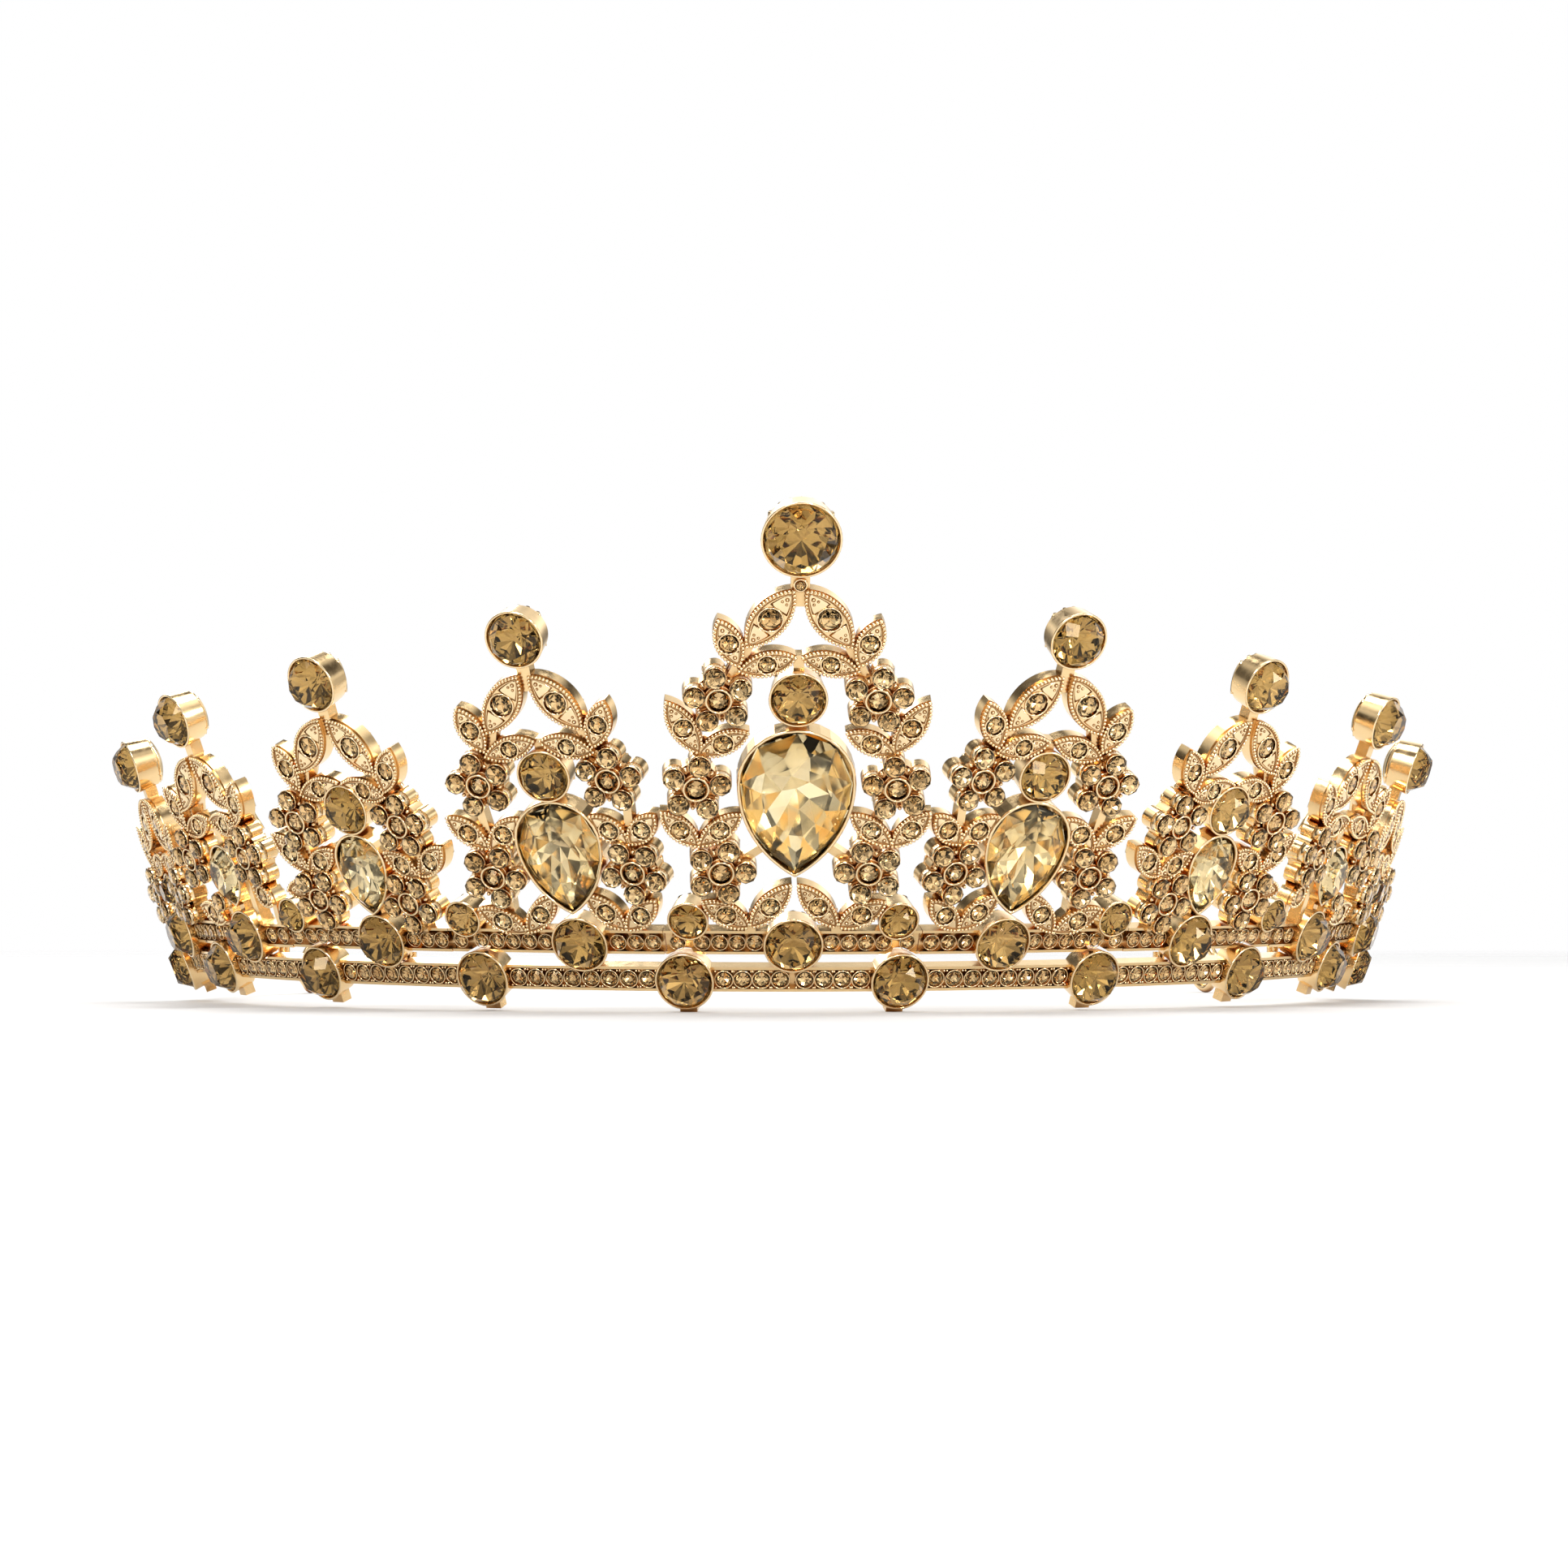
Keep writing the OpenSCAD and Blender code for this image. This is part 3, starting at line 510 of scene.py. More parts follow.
def bump(tree, shader, heights):
    """Bumps on each other: pairs of a height and its depth in metres."""
    normal = {}
    for height, depth in heights:
        n = new(tree, "Bump", {"Distance": depth, "Height": height, **normal})
        normal = {"Normal": n.outputs["Normal"]}
    feed(tree, shader, normal)


# Noise scales, per metre
GOLD_TONE, GOLD_RIPPLE, GOLD_GRAIN = 90.0, 420.0, 900.0
GLASS_TONE, GLASS_GLOSS, FOIL_TONE, FOIL_GLOSS = 140.0, 700.0, 260.0, 1200.0
# The dip of the random tone, then the reach and range of the ambient occlusion that paints shade into
# recesses
TONE_DIP, SHADE_REACH, SHADE_RANGE = 0.93, 1.2 * MM, (0.15, 0.75)


def gold_material(name, pale, shade_tone, rough, wear):
    """Plated metal, uneven in tone and gloss, with painted shade: a darker tone mixed into its
    recesses by ambient occlusion.
    """
    m, tree, shader, where = nodes_of(name)
    tone = ramp(tree, noise(tree, where, GOLD_TONE, 4.0),
                [(0.3, tuple(TONE_DIP * c for c in pale)), (0.7, pale)])
    grain = noise(tree, where, GOLD_GRAIN)
    # Painted shade: ambient occlusion mixes the darker tone into recesses, where shade falls
    occluded_shade = new(tree, "AmbientOcclusion", {"Distance": SHADE_REACH}, samples=6).outputs["AO"]
    depth = span(tree, occluded_shade, *SHADE_RANGE, 0.0, 1.0)
    feed(tree, shader, {"Metallic": 1.0, "Base Color": mixed(tree, depth, shade_tone, tone),
                        "Roughness": span(tree, grain, 0.3, 0.7, rough - 0.05, rough + 0.09)})
    bump(tree, shader, [(noise(tree, where, GOLD_RIPPLE, 2.0), wear), (grain, 0.3 * wear)])
    return m


def glass_material(name, tint, edge, ior, gloss):
    """Tinted glass with faint wear, whose reflections have a tint of their own."""
    m, tree, shader, where = nodes_of(name)
    tone = ramp(tree, noise(tree, where, GLASS_TONE, 2.0), [(0.35, edge), (0.65, tint)])
    worn = span(tree, noise(tree, where, GLASS_GLOSS, 2.0), 0.5, 0.9, 0.0, 0.012)
    feed(tree, shader, {"Specular Tint": gloss, "Transmission Weight": 1.0, "IOR": ior,
                        "Base Color": tone, "Roughness": worn})
    return m


def foil_material(name, light, dark, rough=0.02):
    """The silver behind a stone, slightly clouded."""
    m, tree, shader, where = nodes_of(name)
    tone = ramp(tree, noise(tree, where, FOIL_TONE), [(0.3, dark), (0.6, light)])
    worn = span(tree, noise(tree, where, FOIL_GLOSS, 2.0), 0.3, 0.7, rough, rough + 0.06)
    feed(tree, shader, {"Metallic": 1.0, "Base Color": tone, "Roughness": worn})
    return m


# Cast metal, the polished trim on it and the lines of painted shade in it: pale tone, darker tone of
# painted shade in recesses, roughness, wear
GOLD = gold_material("gold", (0.96, 0.7, 0.37), (0.5, 0.22, 0.055), 0.17, 0.02 * MM)
GOLD_TRIM = gold_material("gold_trim", (0.98, 0.76, 0.45), (0.56, 0.27, 0.075), 0.12, 0.006 * MM)
# Dark gold for the lines and rings that paint the shade in grooves
GOLD_FOR_SHADE = gold_material("gold_painted_shade", (0.4, 0.21, 0.08), (0.2, 0.08, 0.02), 0.34, 0.006 * MM)
# Topaz round stones, champagne pears and small stones: tints, refraction, tint of reflections
ROUND_GLASS = glass_material("round_glass", (0.65, 0.41, 0.15), (0.53, 0.32, 0.09), 1.6,
                             (0.58, 0.48, 0.34))
PEAR_GLASS = glass_material("pear_glass", (1.0, 0.9, 0.64), (1.0, 0.8, 0.44), 1.6,
                            (0.75, 0.68, 0.52))
SMALL_GLASS = glass_material("small_glass", (0.98, 0.76, 0.45), (0.9, 0.6, 0.29), 1.55,
                             (0.6, 0.48, 0.3))
# In the order of the slots below
FOILS = [foil_material("round_foil", (0.9, 0.88, 0.82), (0.7, 0.66, 0.58)),
         foil_material("pear_foil", (0.97, 0.94, 0.86), (0.95, 0.86, 0.68), 0.1),
         foil_material("small_foil", (0.92, 0.88, 0.8), (0.75, 0.66, 0.52)),
         foil_material("backing", (0.66, 0.65, 0.64), (0.5, 0.49, 0.48), 0.12),
         foil_material("pear_edge_foil", (1.0, 0.78, 0.42), (0.95, 0.58, 0.2), 0.1)]
IN_ROUND, IN_PEAR, IN_SMALL, BEHIND_PEAR, AT_PEAR_EDGE = range(5)
# The second slot of the trim: a dark gold that paints the shade in the grooves of the leaves
SHADE_SLOT = 1


def finish_of(name):
    """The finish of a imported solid, which keeps its shape."""
    if name.startswith(("spire_", "lower_band", "headband")) and not name.endswith("stones"):
        return GOLD
    if name.startswith("pear_"):
        return PEAR_GLASS
    small = name.startswith(("leaf_", "flower_", "lower_band_"))
    return SMALL_GLASS if small else ROUND_GLASS


for node_name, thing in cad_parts.items():
    if not thing.data.materials:
        thing.data.materials.append(finish_of(node_name))
    for i in range(len(thing.data.materials)):
        thing.data.materials[i] = finish_of(node_name)


# ---- leaves and flowers
# Milgrain round a leaf, and the line of painted shade inside it
BEAD_R, BEAD_PITCH, BEAD_INSET, BEAD_LIFT, BEAD_SPARE = 0.21, 0.44, 0.2, 0.02, 0.1
LINE_R, LINE_PITCH, LINE_INSET, LINE_LIFT = 0.075, 0.4, 0.47, 0.01
# The bed inside the line, and the collar and prongs of the stone in it
BED_INSET, BED_SINK, BED_RISE, BED_REACH = 0.54, 0.02, 0.14, 0.985
COLLAR_OUT, COLLAR_R, COLLAR_LIFT = 0.12, 0.1, 0.06
PRONG_R, PRONG_OUT, PRONG_SINK, PRONG_AXIS, PRONG_SIDE = 0.17, 0.06, 0.16, 0.8, 0.6
# A ring and two dots near each end of a leaf: how far behind the first, across, radius
END_FROM_TIP, END_CLEAR, END_SPARE, END_WIRE_R, END_LIFT = 1.35, 0.25, 0.2, 0.055, 0.1
END_SPOTS = ((0.0, 0.0, 0.2), (0.5, 0.3, 0.12), (0.5, -0.3, 0.12))
END_BEAD = 0.75
# How far the outlines of what stands on the flat metal reach over it
FLOWER_REACH, LEAF_INSET, BAND_COVER = 0.4, 0.12, (-1.7, 1.55)


def band_cups(k):
    """Frames and diameters of the large stones in casting k's stretch of the upper band."""
    cups = [(foot_frame(k), LARGE_D)]
    if k < len(MID):
        cups.append((mid_frame(k), MID[k][1]))
    if k == 0:
        cups.append((MIRROR @ mid_frame(k), MID[k][1]))
    return cups


def cups_of(k):
    """Middles and diameters of all large stones in the frame of casting k."""
    back = np.linalg.inv(spire_frame(k))
    return round_cups_of(k) + [((back @ m)[:2, 3], d) for m, d in band_cups(k)]


CUP_ROWS = [cups_of(k) for k in range(5)]


def covered(k, p, spare, leaf):
    """True where something other than this leaf stands over a point of casting k's metal."""
    for c, d in CUP_ROWS[k]:
        if np.hypot(*(p - c)) < d / 2 + CUP_WALL + spare:
            return True
    if in_pear_of(k, p, 2 * PEAR_WALL + spare):
        return True
    for middle, petals in FLOWER_ROWS[k]:
        if (np.hypot(*(p - middle)) < FLOWER_D / 2 + FLOWER_REACH
                or any(np.hypot(*(p - q)) < PETAL_R for q in petals)):
            return True
    for foot, tip, width, _ in LEAF_ROWS[k]:
        if foot is not leaf and in_leaf(p, foot, tip, width, LEAF_INSET):
            return True
    return BAND_COVER[0] < p[1] < BAND_COVER[1]


def add_leaf_ends(shape, k, frame_k, foot, tip, width, stone):
    """The small ring of painted shade and the dots towards the ends of a leaf, where its stone leaves
    room.
    """
    middle, axis, side, reach, _, _ = leaf_outline(foot, tip, width)
    at = reach - END_FROM_TIP
    if stone > 0 and at <= stone / 2 + 2 * END_CLEAR:
        return
    for s in (1, -1):
        for behind, y, r in END_SPOTS:
            x = at - behind
            if stone > 0 and math.hypot(x, y) - r <= stone / 2 + END_CLEAR:
                continue
            p = middle + s * x * axis + y * side
            if not covered(k, p, END_SPARE, foot):
                spot = frame_k @ pad(p, 0)
                # The ring is in the dark gold of painted shade
                shape.add(*ring(r, END_WIRE_R, RELIEF_TOP + END_LIFT, 12, 5), spot, SHADE_SLOT)
                shape.add(*bead(END_BEAD * r), frame_k @ pad(p, RELIEF_TOP + END_LIFT))


def add_leaf(shape, k, frame_k, foot, tip, width, stone):
    """The milgrain of a leaf, its line of painted shade and its bed, and the setting of its stone."""
    for p in leaf_arcs(foot, tip, width, BEAD_INSET, BEAD_PITCH):
        if not covered(k, p, BEAD_SPARE, foot):
            shape.add(*bead(BEAD_R), frame_k @ pad(p, RELIEF_TOP + BEAD_LIFT))
    line = leaf_arcs(foot, tip, width, LINE_INSET, LINE_PITCH)
    # A dark tube that paints the shade in the groove round the bed
    shape.add(*tube([(*p, RELIEF_TOP + LINE_LIFT) for p in line], LINE_R, 5), frame_k, SHADE_SLOT)
    middle, axis, side, reach, _, _ = leaf_outline(foot, tip, width, BED_INSET)
    near, far = stone / 2 + COLLAR_OUT, BED_REACH * reach
    for start, end in ((-far, -near), (near, far)) if stone > 0 else ((-far, far),):
        shape.add(*leaf_bed(foot, tip, width, BED_INSET, RELIEF_TOP - BED_SINK, BED_RISE,
                            start, end), frame_k)
    if stone > 0:
        shape.add(*ring(near, COLLAR_R, RELIEF_TOP + COLLAR_LIFT, 24, 7), frame_k @ pad(middle, 0))
        for m in (1, -1):
            for n in (1, -1):
                away = PRONG_AXIS * m * axis + PRONG_SIDE * n * side
                p = middle + (stone / 2 + PRONG_OUT) * away
                shape.add(*bead(PRONG_R), frame_k @ pad(p, LEAF_TABLE - PRONG_SINK))
    add_leaf_ends(shape, k, frame_k, foot, tip, width, stone)


# A flower's middle: distance out of the stone, wire radius and level of its two rings
FLOWER_RINGS = ((0.24, 0.13, FLOWER_RIM), (0.42, 0.1, FLOWER_FLOOR + 0.5))
BETWEEN_R, BETWEEN_OUT, BETWEEN_SINK = 0.24, 1.12, 0.2


def add_flower(shape, frame_k, middle, petals):
    """The rings round a flower's middle stone, and a bead where neighbouring petals meet."""
    for out, thick, w in FLOWER_RINGS:
        shape.add(*ring(FLOWER_D / 2 + out, thick, w, 28, 6), frame_k @ pad(middle, 0))
    for a, b in zip(petals, petals[1:] + petals[:1]):
        p = middle + BETWEEN_OUT * ((a + b) / 2 - middle)
        shape.add(*bead(BETWEEN_R), frame_k @ pad(p, PETAL_TOP - BETWEEN_SINK))


# ---- rims of the large stones
CUP_RING_OUT, CUP_RING_R, CUP_RING_SINK = 0.14, 0.15, 0.02
PEAR_RING_R = 0.19


def add_cup_rim(shape, matrix, d):
    shape.add(*ring(d / 2 + CUP_RING_OUT, CUP_RING_R, CUP_RIM - CUP_RING_SINK, 40, 8), matrix)


def add_pear_rim(shape, frame_k, k):
    s = SPIRES[k]
    edge = pear_edge(s.pear_w + PEAR_WALL, s.pear_l + PEAR_WALL)
    path = [(p[0], p[1] + s.pear_v, PEAR_RIM) for p in edge]
    shape.add(*tube(path, PEAR_RING_R, 7), frame_k)


# ---- ribs of the back
RIB_PITCH, RIB_R, RIB_STEP, RIB_MIN = 0.8, 0.25, 0.12, 0.5
DOME_PITCH, DOME_RIB_R, DOME_MARGIN, DOME_SINK = 1.05, 0.47, 0.3, 0.16
BAND_RIB_R, BAND_RIB_MARGIN, BAND_RIB_SINK = 0.22, 0.35, 0.02
# The ribs' edges: lowest v, and how far they stay from cups, pear, leaf edges and petals
LOWEST_RIB, CUP_SHARE, PEAR_CLEAR = 2.2, 0.95, 0.6
RIB_LEAF_INSET, RIB_PETAL_INSET, PEAR_RIB_OUT = 0.16, 0.12, 0.3
# The window behind a pear, as a share of the stone's width and length, and the margin round it
WINDOW_W, WINDOW_L, WINDOW_MARGIN = 0.46, 0.6, 0.5
# A rod behind each upper stem: both ends as u and as v from the head, its radius and its depth
ROD_FOOT, ROD_TIP, ROD_R, ROD_SINK = (4.4, -1.4), (7.6, -7.2), 0.55, 0.12


def spans(inside, high):
    """The stretches between nought and a height over which a test holds."""
    steps = [i * RIB_STEP for i in range(int(high / RIB_STEP) + 1)]
    runs = [list(run) for holds, run in itertools.groupby(steps, inside) if holds]
    return [(run[0], run[-1]) for run in runs if run[-1] - run[0] > RIB_MIN]


def dome_radius(d):
    return (d / 2 + CUP_WALL) * CUP_TAPER


def dome_level(d, r2):
    """The level of a dome's surface at a distance (squared) from its middle."""
    ball = (dome_radius(d) ** 2 + DOME_H ** 2) / (2 * DOME_H)
    return CUP_BACK - DOME_H + ball - math.sqrt(max(0.0, ball ** 2 - r2))


def add_dome_ribs(shape, matrix, d):
    radius = dome_radius(d)
    n = int((radius - DOME_MARGIN) / DOME_PITCH)
    for i in range(-n, n + 1):
        c = i * DOME_PITCH
        half = math.sqrt(radius ** 2 - c * c) - DOME_MARGIN
        path = [(c, v, dome_level(d, c * c + v * v) + DOME_SINK)
                for v in np.linspace(-half, half, 11)]
        shape.add(*rib(path, DOME_RIB_R, 8), matrix)


def on_plate(k, p):
    """True on the ribbed back of a leaf or flower of casting k."""
    if any(np.hypot(*(p - c)) < (d / 2 + CUP_WALL) * CUP_SHARE for c, d in CUP_ROWS[k]):
        return False
    if in_pear_of(k, p, PEAR_CLEAR) or p[1] <= LOWEST_RIB:
        return False
    if any(in_leaf(p, f, t, w, RIB_LEAF_INSET) for f, t, w, _ in LEAF_ROWS[k]):
        return True
    return any(np.hypot(*(p - m)) < PETAL_RING
               or any(np.hypot(*(p - q)) < PETAL_R - RIB_PETAL_INSET for q in petals)
               for m, petals in FLOWER_ROWS[k])


def on_pear_cup(k, p):
    """True on the back of casting k's pear cup, outside its window."""
    s = SPIRES[k]
    window = (s.pear_w * WINDOW_W + WINDOW_MARGIN, s.pear_l * WINDOW_L + WINDOW_MARGIN)
    return (in_pear_of(k, p, PEAR_RIB_OUT)
            and not in_pear(p - np.array((0, s.pear_v)), *window))


def add_flat_ribs(shape, matrix, k):
    """Upright ribs on the backs of casting k's leaves, flowers and pear cup."""
    s = SPIRES[k]
    top = s.top_v + s.top_d / 2
    for i in range(-20, 21):
        u = i * RIB_PITCH
        rows = [(PLATE_BACK, spans(lambda v: on_plate(k, np.array((u, v))), top))]
        if s.pear_l > 0:
            rows.append((PEAR_BACK, spans(lambda v: on_pear_cup(k, np.array((u, v))), top)))
        for level, stretches in rows:
            for a, b in stretches:
                shape.add(*rib([(u, v, level) for v in np.linspace(a, b, 4)], RIB_R), matrix)


def add_rods(shape, matrix, k):
    """A rod down the back of each upper stem."""
    head = SPIRES[k].head_v
    for m in (1, -1):
        a = np.array((m * ROD_FOOT[0], head + ROD_FOOT[1]))
        b = np.array((m * ROD_TIP[0], head + ROD_TIP[1]))
        ahead = (b - a) / np.linalg.norm(b - a)
        lean = math.degrees(math.atan2(-ahead[0], ahead[1]))
        rod = [(0, v, STEM_BACK + ROD_SINK) for v in np.linspace(0, np.linalg.norm(b - a), 5)]
        shape.add(*rib(rod, ROD_R, 10), matrix @ pad(a, 0) @ turn("z", lean))


def rib_headings(low, high):
    """Headings a rib's pitch apart along a stretch of band."""
    s0, s1 = length_at(low), length_at(high)
    n = int((s1 - s0) / RIB_PITCH)
    return [heading_at(s0 + (s1 - s0) * (i + 0.5) / n) for i in range(n)]


def band_rib():
    end = BAND_H / 2 - BAND_RIB_MARGIN
    return rib([(0, v, BAND_BACK + BAND_RIB_SINK) for v in (-end, 0.0, end)], BAND_RIB_R)


# ---- stones and foils
# A small cut stone's table and base as shares of its radius, and how deep its girdle lies
SMALL_FLAT, SMALL_BASE, SMALL_GIRDLE = 0.55, 0.7, 0.45
FOIL_THICK = 0.03


def small_girdle(table, back):
    return table + SMALL_GIRDLE * (back - table)


def small_cut(d, table, back):
    """A small cut stone with the proportions of those in the solids."""
    r = d / 2
    points = circle(SMALL_FLAT * r, table, 8) + circle(r, small_girdle(table, back), 8)
    points += circle(SMALL_BASE * r, back, 8)
    faces = [tuple(range(8)), tuple(range(23, 15, -1))]
    for a in (0, 8):
        faces += [(a + i, a + 8 + i, a + 8 + (i + 1) % 8, a + (i + 1) % 8) for i in range(8)]
    return points, faces


def thin(points, front, n):
    """A sheet of foil as a closed mesh. Its rim is the first n points."""
    size = len(points)
    faces = front + [tuple(size + i for i in f[::-1]) for f in front]
    faces += [(i, (i + 1) % n, size + (i + 1) % n, size + i) for i in range(n)]
    return points + [(u, v, w - FOIL_THICK) for u, v, w in points], faces


def star_foil(rim, middle, rim_w, high, low, centre_w):
    """A silvered cup in wedges: a rim loop, a middle loop that goes up and down, and a centre."""
    n = len(rim)
    points = [(*p, rim_w) for p in rim]
    points += [(*p, high if i % 2 else low) for i, p in enumerate(middle)]
    points.append((*np.mean(middle, axis=0), centre_w))
    front = []
    for i in range(n):
        j = (i + 1) % n
        front += [(i, n + i, j), (n + i, n + j, j), (n + i, 2 * n, n + j)]
    return thin(points, front, n)


# Round foils: rim and middle loop per radius, then the rim's drop below the girdle, the middle's
# lift off the pavilion, wedge height and centre depth per radius, and the lift off the culet
ROUND_WEDGES, ROUND_RIM, ROUND_MIDDLE = 16, 0.95, 0.76
ROUND_RIM_DROP, ROUND_LIFT, ROUND_WEDGE, ROUND_CENTRE, ROUND_FLOOR = 0.1, 0.06, 0.09, 0.36, 0.1
CULET_R = 0.75
# Small foils: the same, with the levels of rim and wedges per depth of the pavilion
SMALL_WEDGES, SMALL_RIM, SMALL_MIDDLE = 8, 0.9, 0.68
SMALL_RIM_DROP, SMALL_HIGH, SMALL_WEDGE, SMALL_FLOOR = 0.1, 0.04, 0.19, 0.07
SMALL_CENTRE, SMALL_CENTRE_FLOOR = 0.04, 0.05


def foil_loops(r, rim, middle, wedges):
    """The two loops of a foil. The middle one is turned by half a wedge against the rim."""
    return ([p[:2] for p in circle(rim * r, 0, wedges, 0.5)],
            [p[:2] for p in circle(middle * r, 0, wedges)])


def round_foil(d):
    """The silver inside a round stone, close to its pavilion."""
    r = d / 2
    pavilion = GIRDLE - (GIRDLE - CULET) * (r - ROUND_MIDDLE * r) / (r - CULET_R)
    low = pavilion + ROUND_LIFT
    return star_foil(*foil_loops(r, ROUND_RIM, ROUND_MIDDLE, ROUND_WEDGES),
                     GIRDLE - ROUND_RIM_DROP, low + ROUND_WEDGE * r, low,
                     max(CULET + ROUND_FLOOR, GIRDLE - ROUND_CENTRE * r))


def small_foil(d, table, back):
    """The silver inside a small stone."""
    r, girdle = d / 2, small_girdle(table, back)
    depth = girdle - back
    high = girdle - SMALL_HIGH * depth
    low = max(high - SMALL_WEDGE * r, back + SMALL_FLOOR)
    return star_foil(*foil_loops(r, SMALL_RIM, SMALL_MIDDLE, SMALL_WEDGES),
                     girdle - SMALL_RIM_DROP * depth, high, low,
                     max(low - SMALL_CENTRE * r, back + SMALL_CENTRE_FLOOR))


# A pear's foil: its centre's height, its rim, and two rings that go up and down
PEAR_CENTRE, PEAR_FOIL_RIM, PEAR_RIM_DROP, PEAR_FLOOR = 0.1, 0.96, 0.1, 0.12
PEAR_OUTER, PEAR_OUTER_W = 0.6, (-1.42, -2.0)
PEAR_INNER, PEAR_INNER_W = 0.27, (-2.25, -1.85)


def pear_foil(k):
    """The silver inside a pear stone, in large facets of two rings, with a slot per face."""
    s = SPIRES[k]
    edge = pear_edge(s.pear_w, s.pear_l, 4)
    n = len(edge)
    centre = np.array((0.0, PEAR_CENTRE * s.pear_l))
    half = [(edge[i] + edge[(i + 1) % n]) / 2 for i in range(n)]
    points = []
    for loop, size, levels in ((edge, PEAR_FOIL_RIM, (PEAR_GIRDLE - PEAR_RIM_DROP,) * 2),
                               (half, PEAR_OUTER, PEAR_OUTER_W),
                               (half[::2], PEAR_INNER, PEAR_INNER_W)):
        points += [(*(centre + size * (p - centre)), levels[i % 2]) for i, p in enumerate(loop)]
    points.append((*centre, PEAR_CULET + PEAR_FLOOR))
    size, m = len(points), n // 2
    front = []
    for i in range(n):
        j = (i + 1) % n
        front += [(i, n + i, j), (n + i, n + j, j)]
    for i in range(m):
        a, b, c = n + 2 * i, n + 2 * i + 1, n + (2 * i + 2) % n
        p, q = 2 * n + i, 2 * n + (i + 1) % m
        front += [(a, p, b), (b, p, q), (b, q, c), (p, size - 1, q)]
    points, faces = thin(points, front, n)
    # The facets with a side on the rim glow in a deeper gold
    on_rim = [sum(v % size < n for v in f) for f in faces]
    return points, faces, [AT_PEAR_EDGE if c == 2 else IN_PEAR for c in on_rim]


# The plate behind a pear stone: size of edge and ring, then what they stand below the stone
PLATE_SIZE, PLATE_RING, PLATE_MIDDLE_V = 0.62, 0.36, 0.06
PLATE_FRONT, PLATE_EDGE, PLATE_RING_W, PLATE_MIDDLE = 0.015, 0.06, (0.22, 0.32), 0.46


def pear_backing(k):
    """The silvered plate that shows through the window behind a pear stone, in long facets."""
    s = SPIRES[k]
    loop = [PLATE_SIZE * p for p in pear_edge(s.pear_w, s.pear_l, 4)]
    n = len(loop)
    half = [PLATE_RING * (loop[i] + loop[(i + 1) % n]) for i in range(n)]
    points = [(*p, PEAR_CULET - PLATE_FRONT) for p in loop]
    points += [(*p, PEAR_CULET - PLATE_EDGE) for p in loop]
    points += [(*p, PEAR_CULET - PLATE_RING_W[i % 2]) for i, p in enumerate(half)]
    points.append((0, PLATE_MIDDLE_V * s.pear_l, PEAR_CULET - PLATE_MIDDLE))
    faces = [tuple(range(n))]
    for i in range(n):
        j = (i + 1) % n
        faces += [(i, j, n + j, n + i), (n + i, n + j, 2 * n + i), (2 * n + i, n + j, 2 * n + j),
                  (2 * n + i, 2 * n + j, 3 * n)]
    return points, faces


# ---- settings of the small stones
# A petal: its stone, and the section of its bezel as distances out of BEZEL_R and levels
PETAL_TABLE, PETAL_D, PETAL_SET = 0.28, 2.52, 0.02
BEZEL_R = PETAL_R - 0.06
BEZEL = ((-0.04, PLATE_TOP + 0.05), (0.05, PLATE_TOP + 0.05), (0.03, -0.3), (-0.01, -0.24),
         (-0.05, -0.3))
# The rings round the bands' stones: distance out of the stone and wire radius, and their level
UPPER_RING, LOWER_RING, BAND_RING_W = (0.02, 0.05), (0.05, 0.07), BAND_FRONT + 0.05
# Beads at the corners of each small stone of the lower band
CORNER_R, CORNER_AT, CORNER_W = 0.15, 0.98, BAND_FRONT - 0.03
# The tiny stone on the tall stem: how far below the top stone, its cup's section and its levels
TINY_DROP, TINY_D, TINY_TABLE, TINY_BACK = 1.35, 1.15, PLATE_TOP + 0.55, PLATE_TOP + 0.08
TINY_CUP = [(0, PLATE_TOP - 0.4), (0.8, PLATE_TOP - 0.4), (0.8, PLATE_TOP + 0.3),
            (0.68, PLATE_TOP + 0.36), (0.6, PLATE_TOP + 0.3), (0.6, PLATE_TOP + 0.05),
            (0, PLATE_TOP + 0.05)]


def add_small_foil(foils, matrix, d, table, back):
    foils.add(*small_foil(d, table, back), matrix, IN_SMALL)


def add_small_stone(stones, foils, matrix, d, table, back):
    """A stone that the solids don't have, with its foil."""
    stones.add(*small_cut(d, table, back), matrix)
    add_small_foil(foils, matrix, d, table, back)


def add_band_ring(trim, matrix, d, wire):
    out, thick = wire
    trim.add(*ring(d / 2 + out, thick, BAND_RING_W, 22, 6), matrix)


# Where the stretches of the upper band end, from the middle outwards
SEAMS = [FRONT_SWEEP] + [heading_at(length_at(h) + MID_CLEAR) for h, _ in MID[1:]]
SEAMS += [LAST_SEAM, BAND_END]


def stretch(k):
    """The headings between which casting k's stretch of the upper band lies."""
    return -SEAMS[0] if k == 0 else SEAMS[k - 1], SEAMS[k]


# The upper band's stones: spacing, room at a seam and a middle cup, what a row may fall short
UPPER_PITCH, SEAM_FREE, MID_FREE, ROW_SLACK = UPPER_STONE_D + 0.15, 0.25, 0.25, 0.12


def upper_band_headings(k):
    """Headings of the small stones of casting k's stretch of the upper band."""
    scale = 1.0 + UPPER_OUT / (FRONT_R if k == 0 else SIDE_R)
    blocks = [(length_at(SPIRES[k].heading), LARGE_D / 2 + CUP_WALL)]
    blocks += [(m * length_at(h), MID_FREE) for h, _ in MID for m in (1, -1)]
    first, last = stretch(k)
    at, end = length_at(first) + SEAM_FREE, length_at(last) - SEAM_FREE
    marks = []
    for low, high in sorted([(c - r / scale, c + r / scale) for c, r in blocks] + [(end, end)]):
        room = min(low, end) - at
        n = int((room * scale + ROW_SLACK) / UPPER_PITCH)
        marks += [heading_at(at + (i + 0.5) * (room / n)) for i in range(n)]
        at = max(at, high)
    return marks


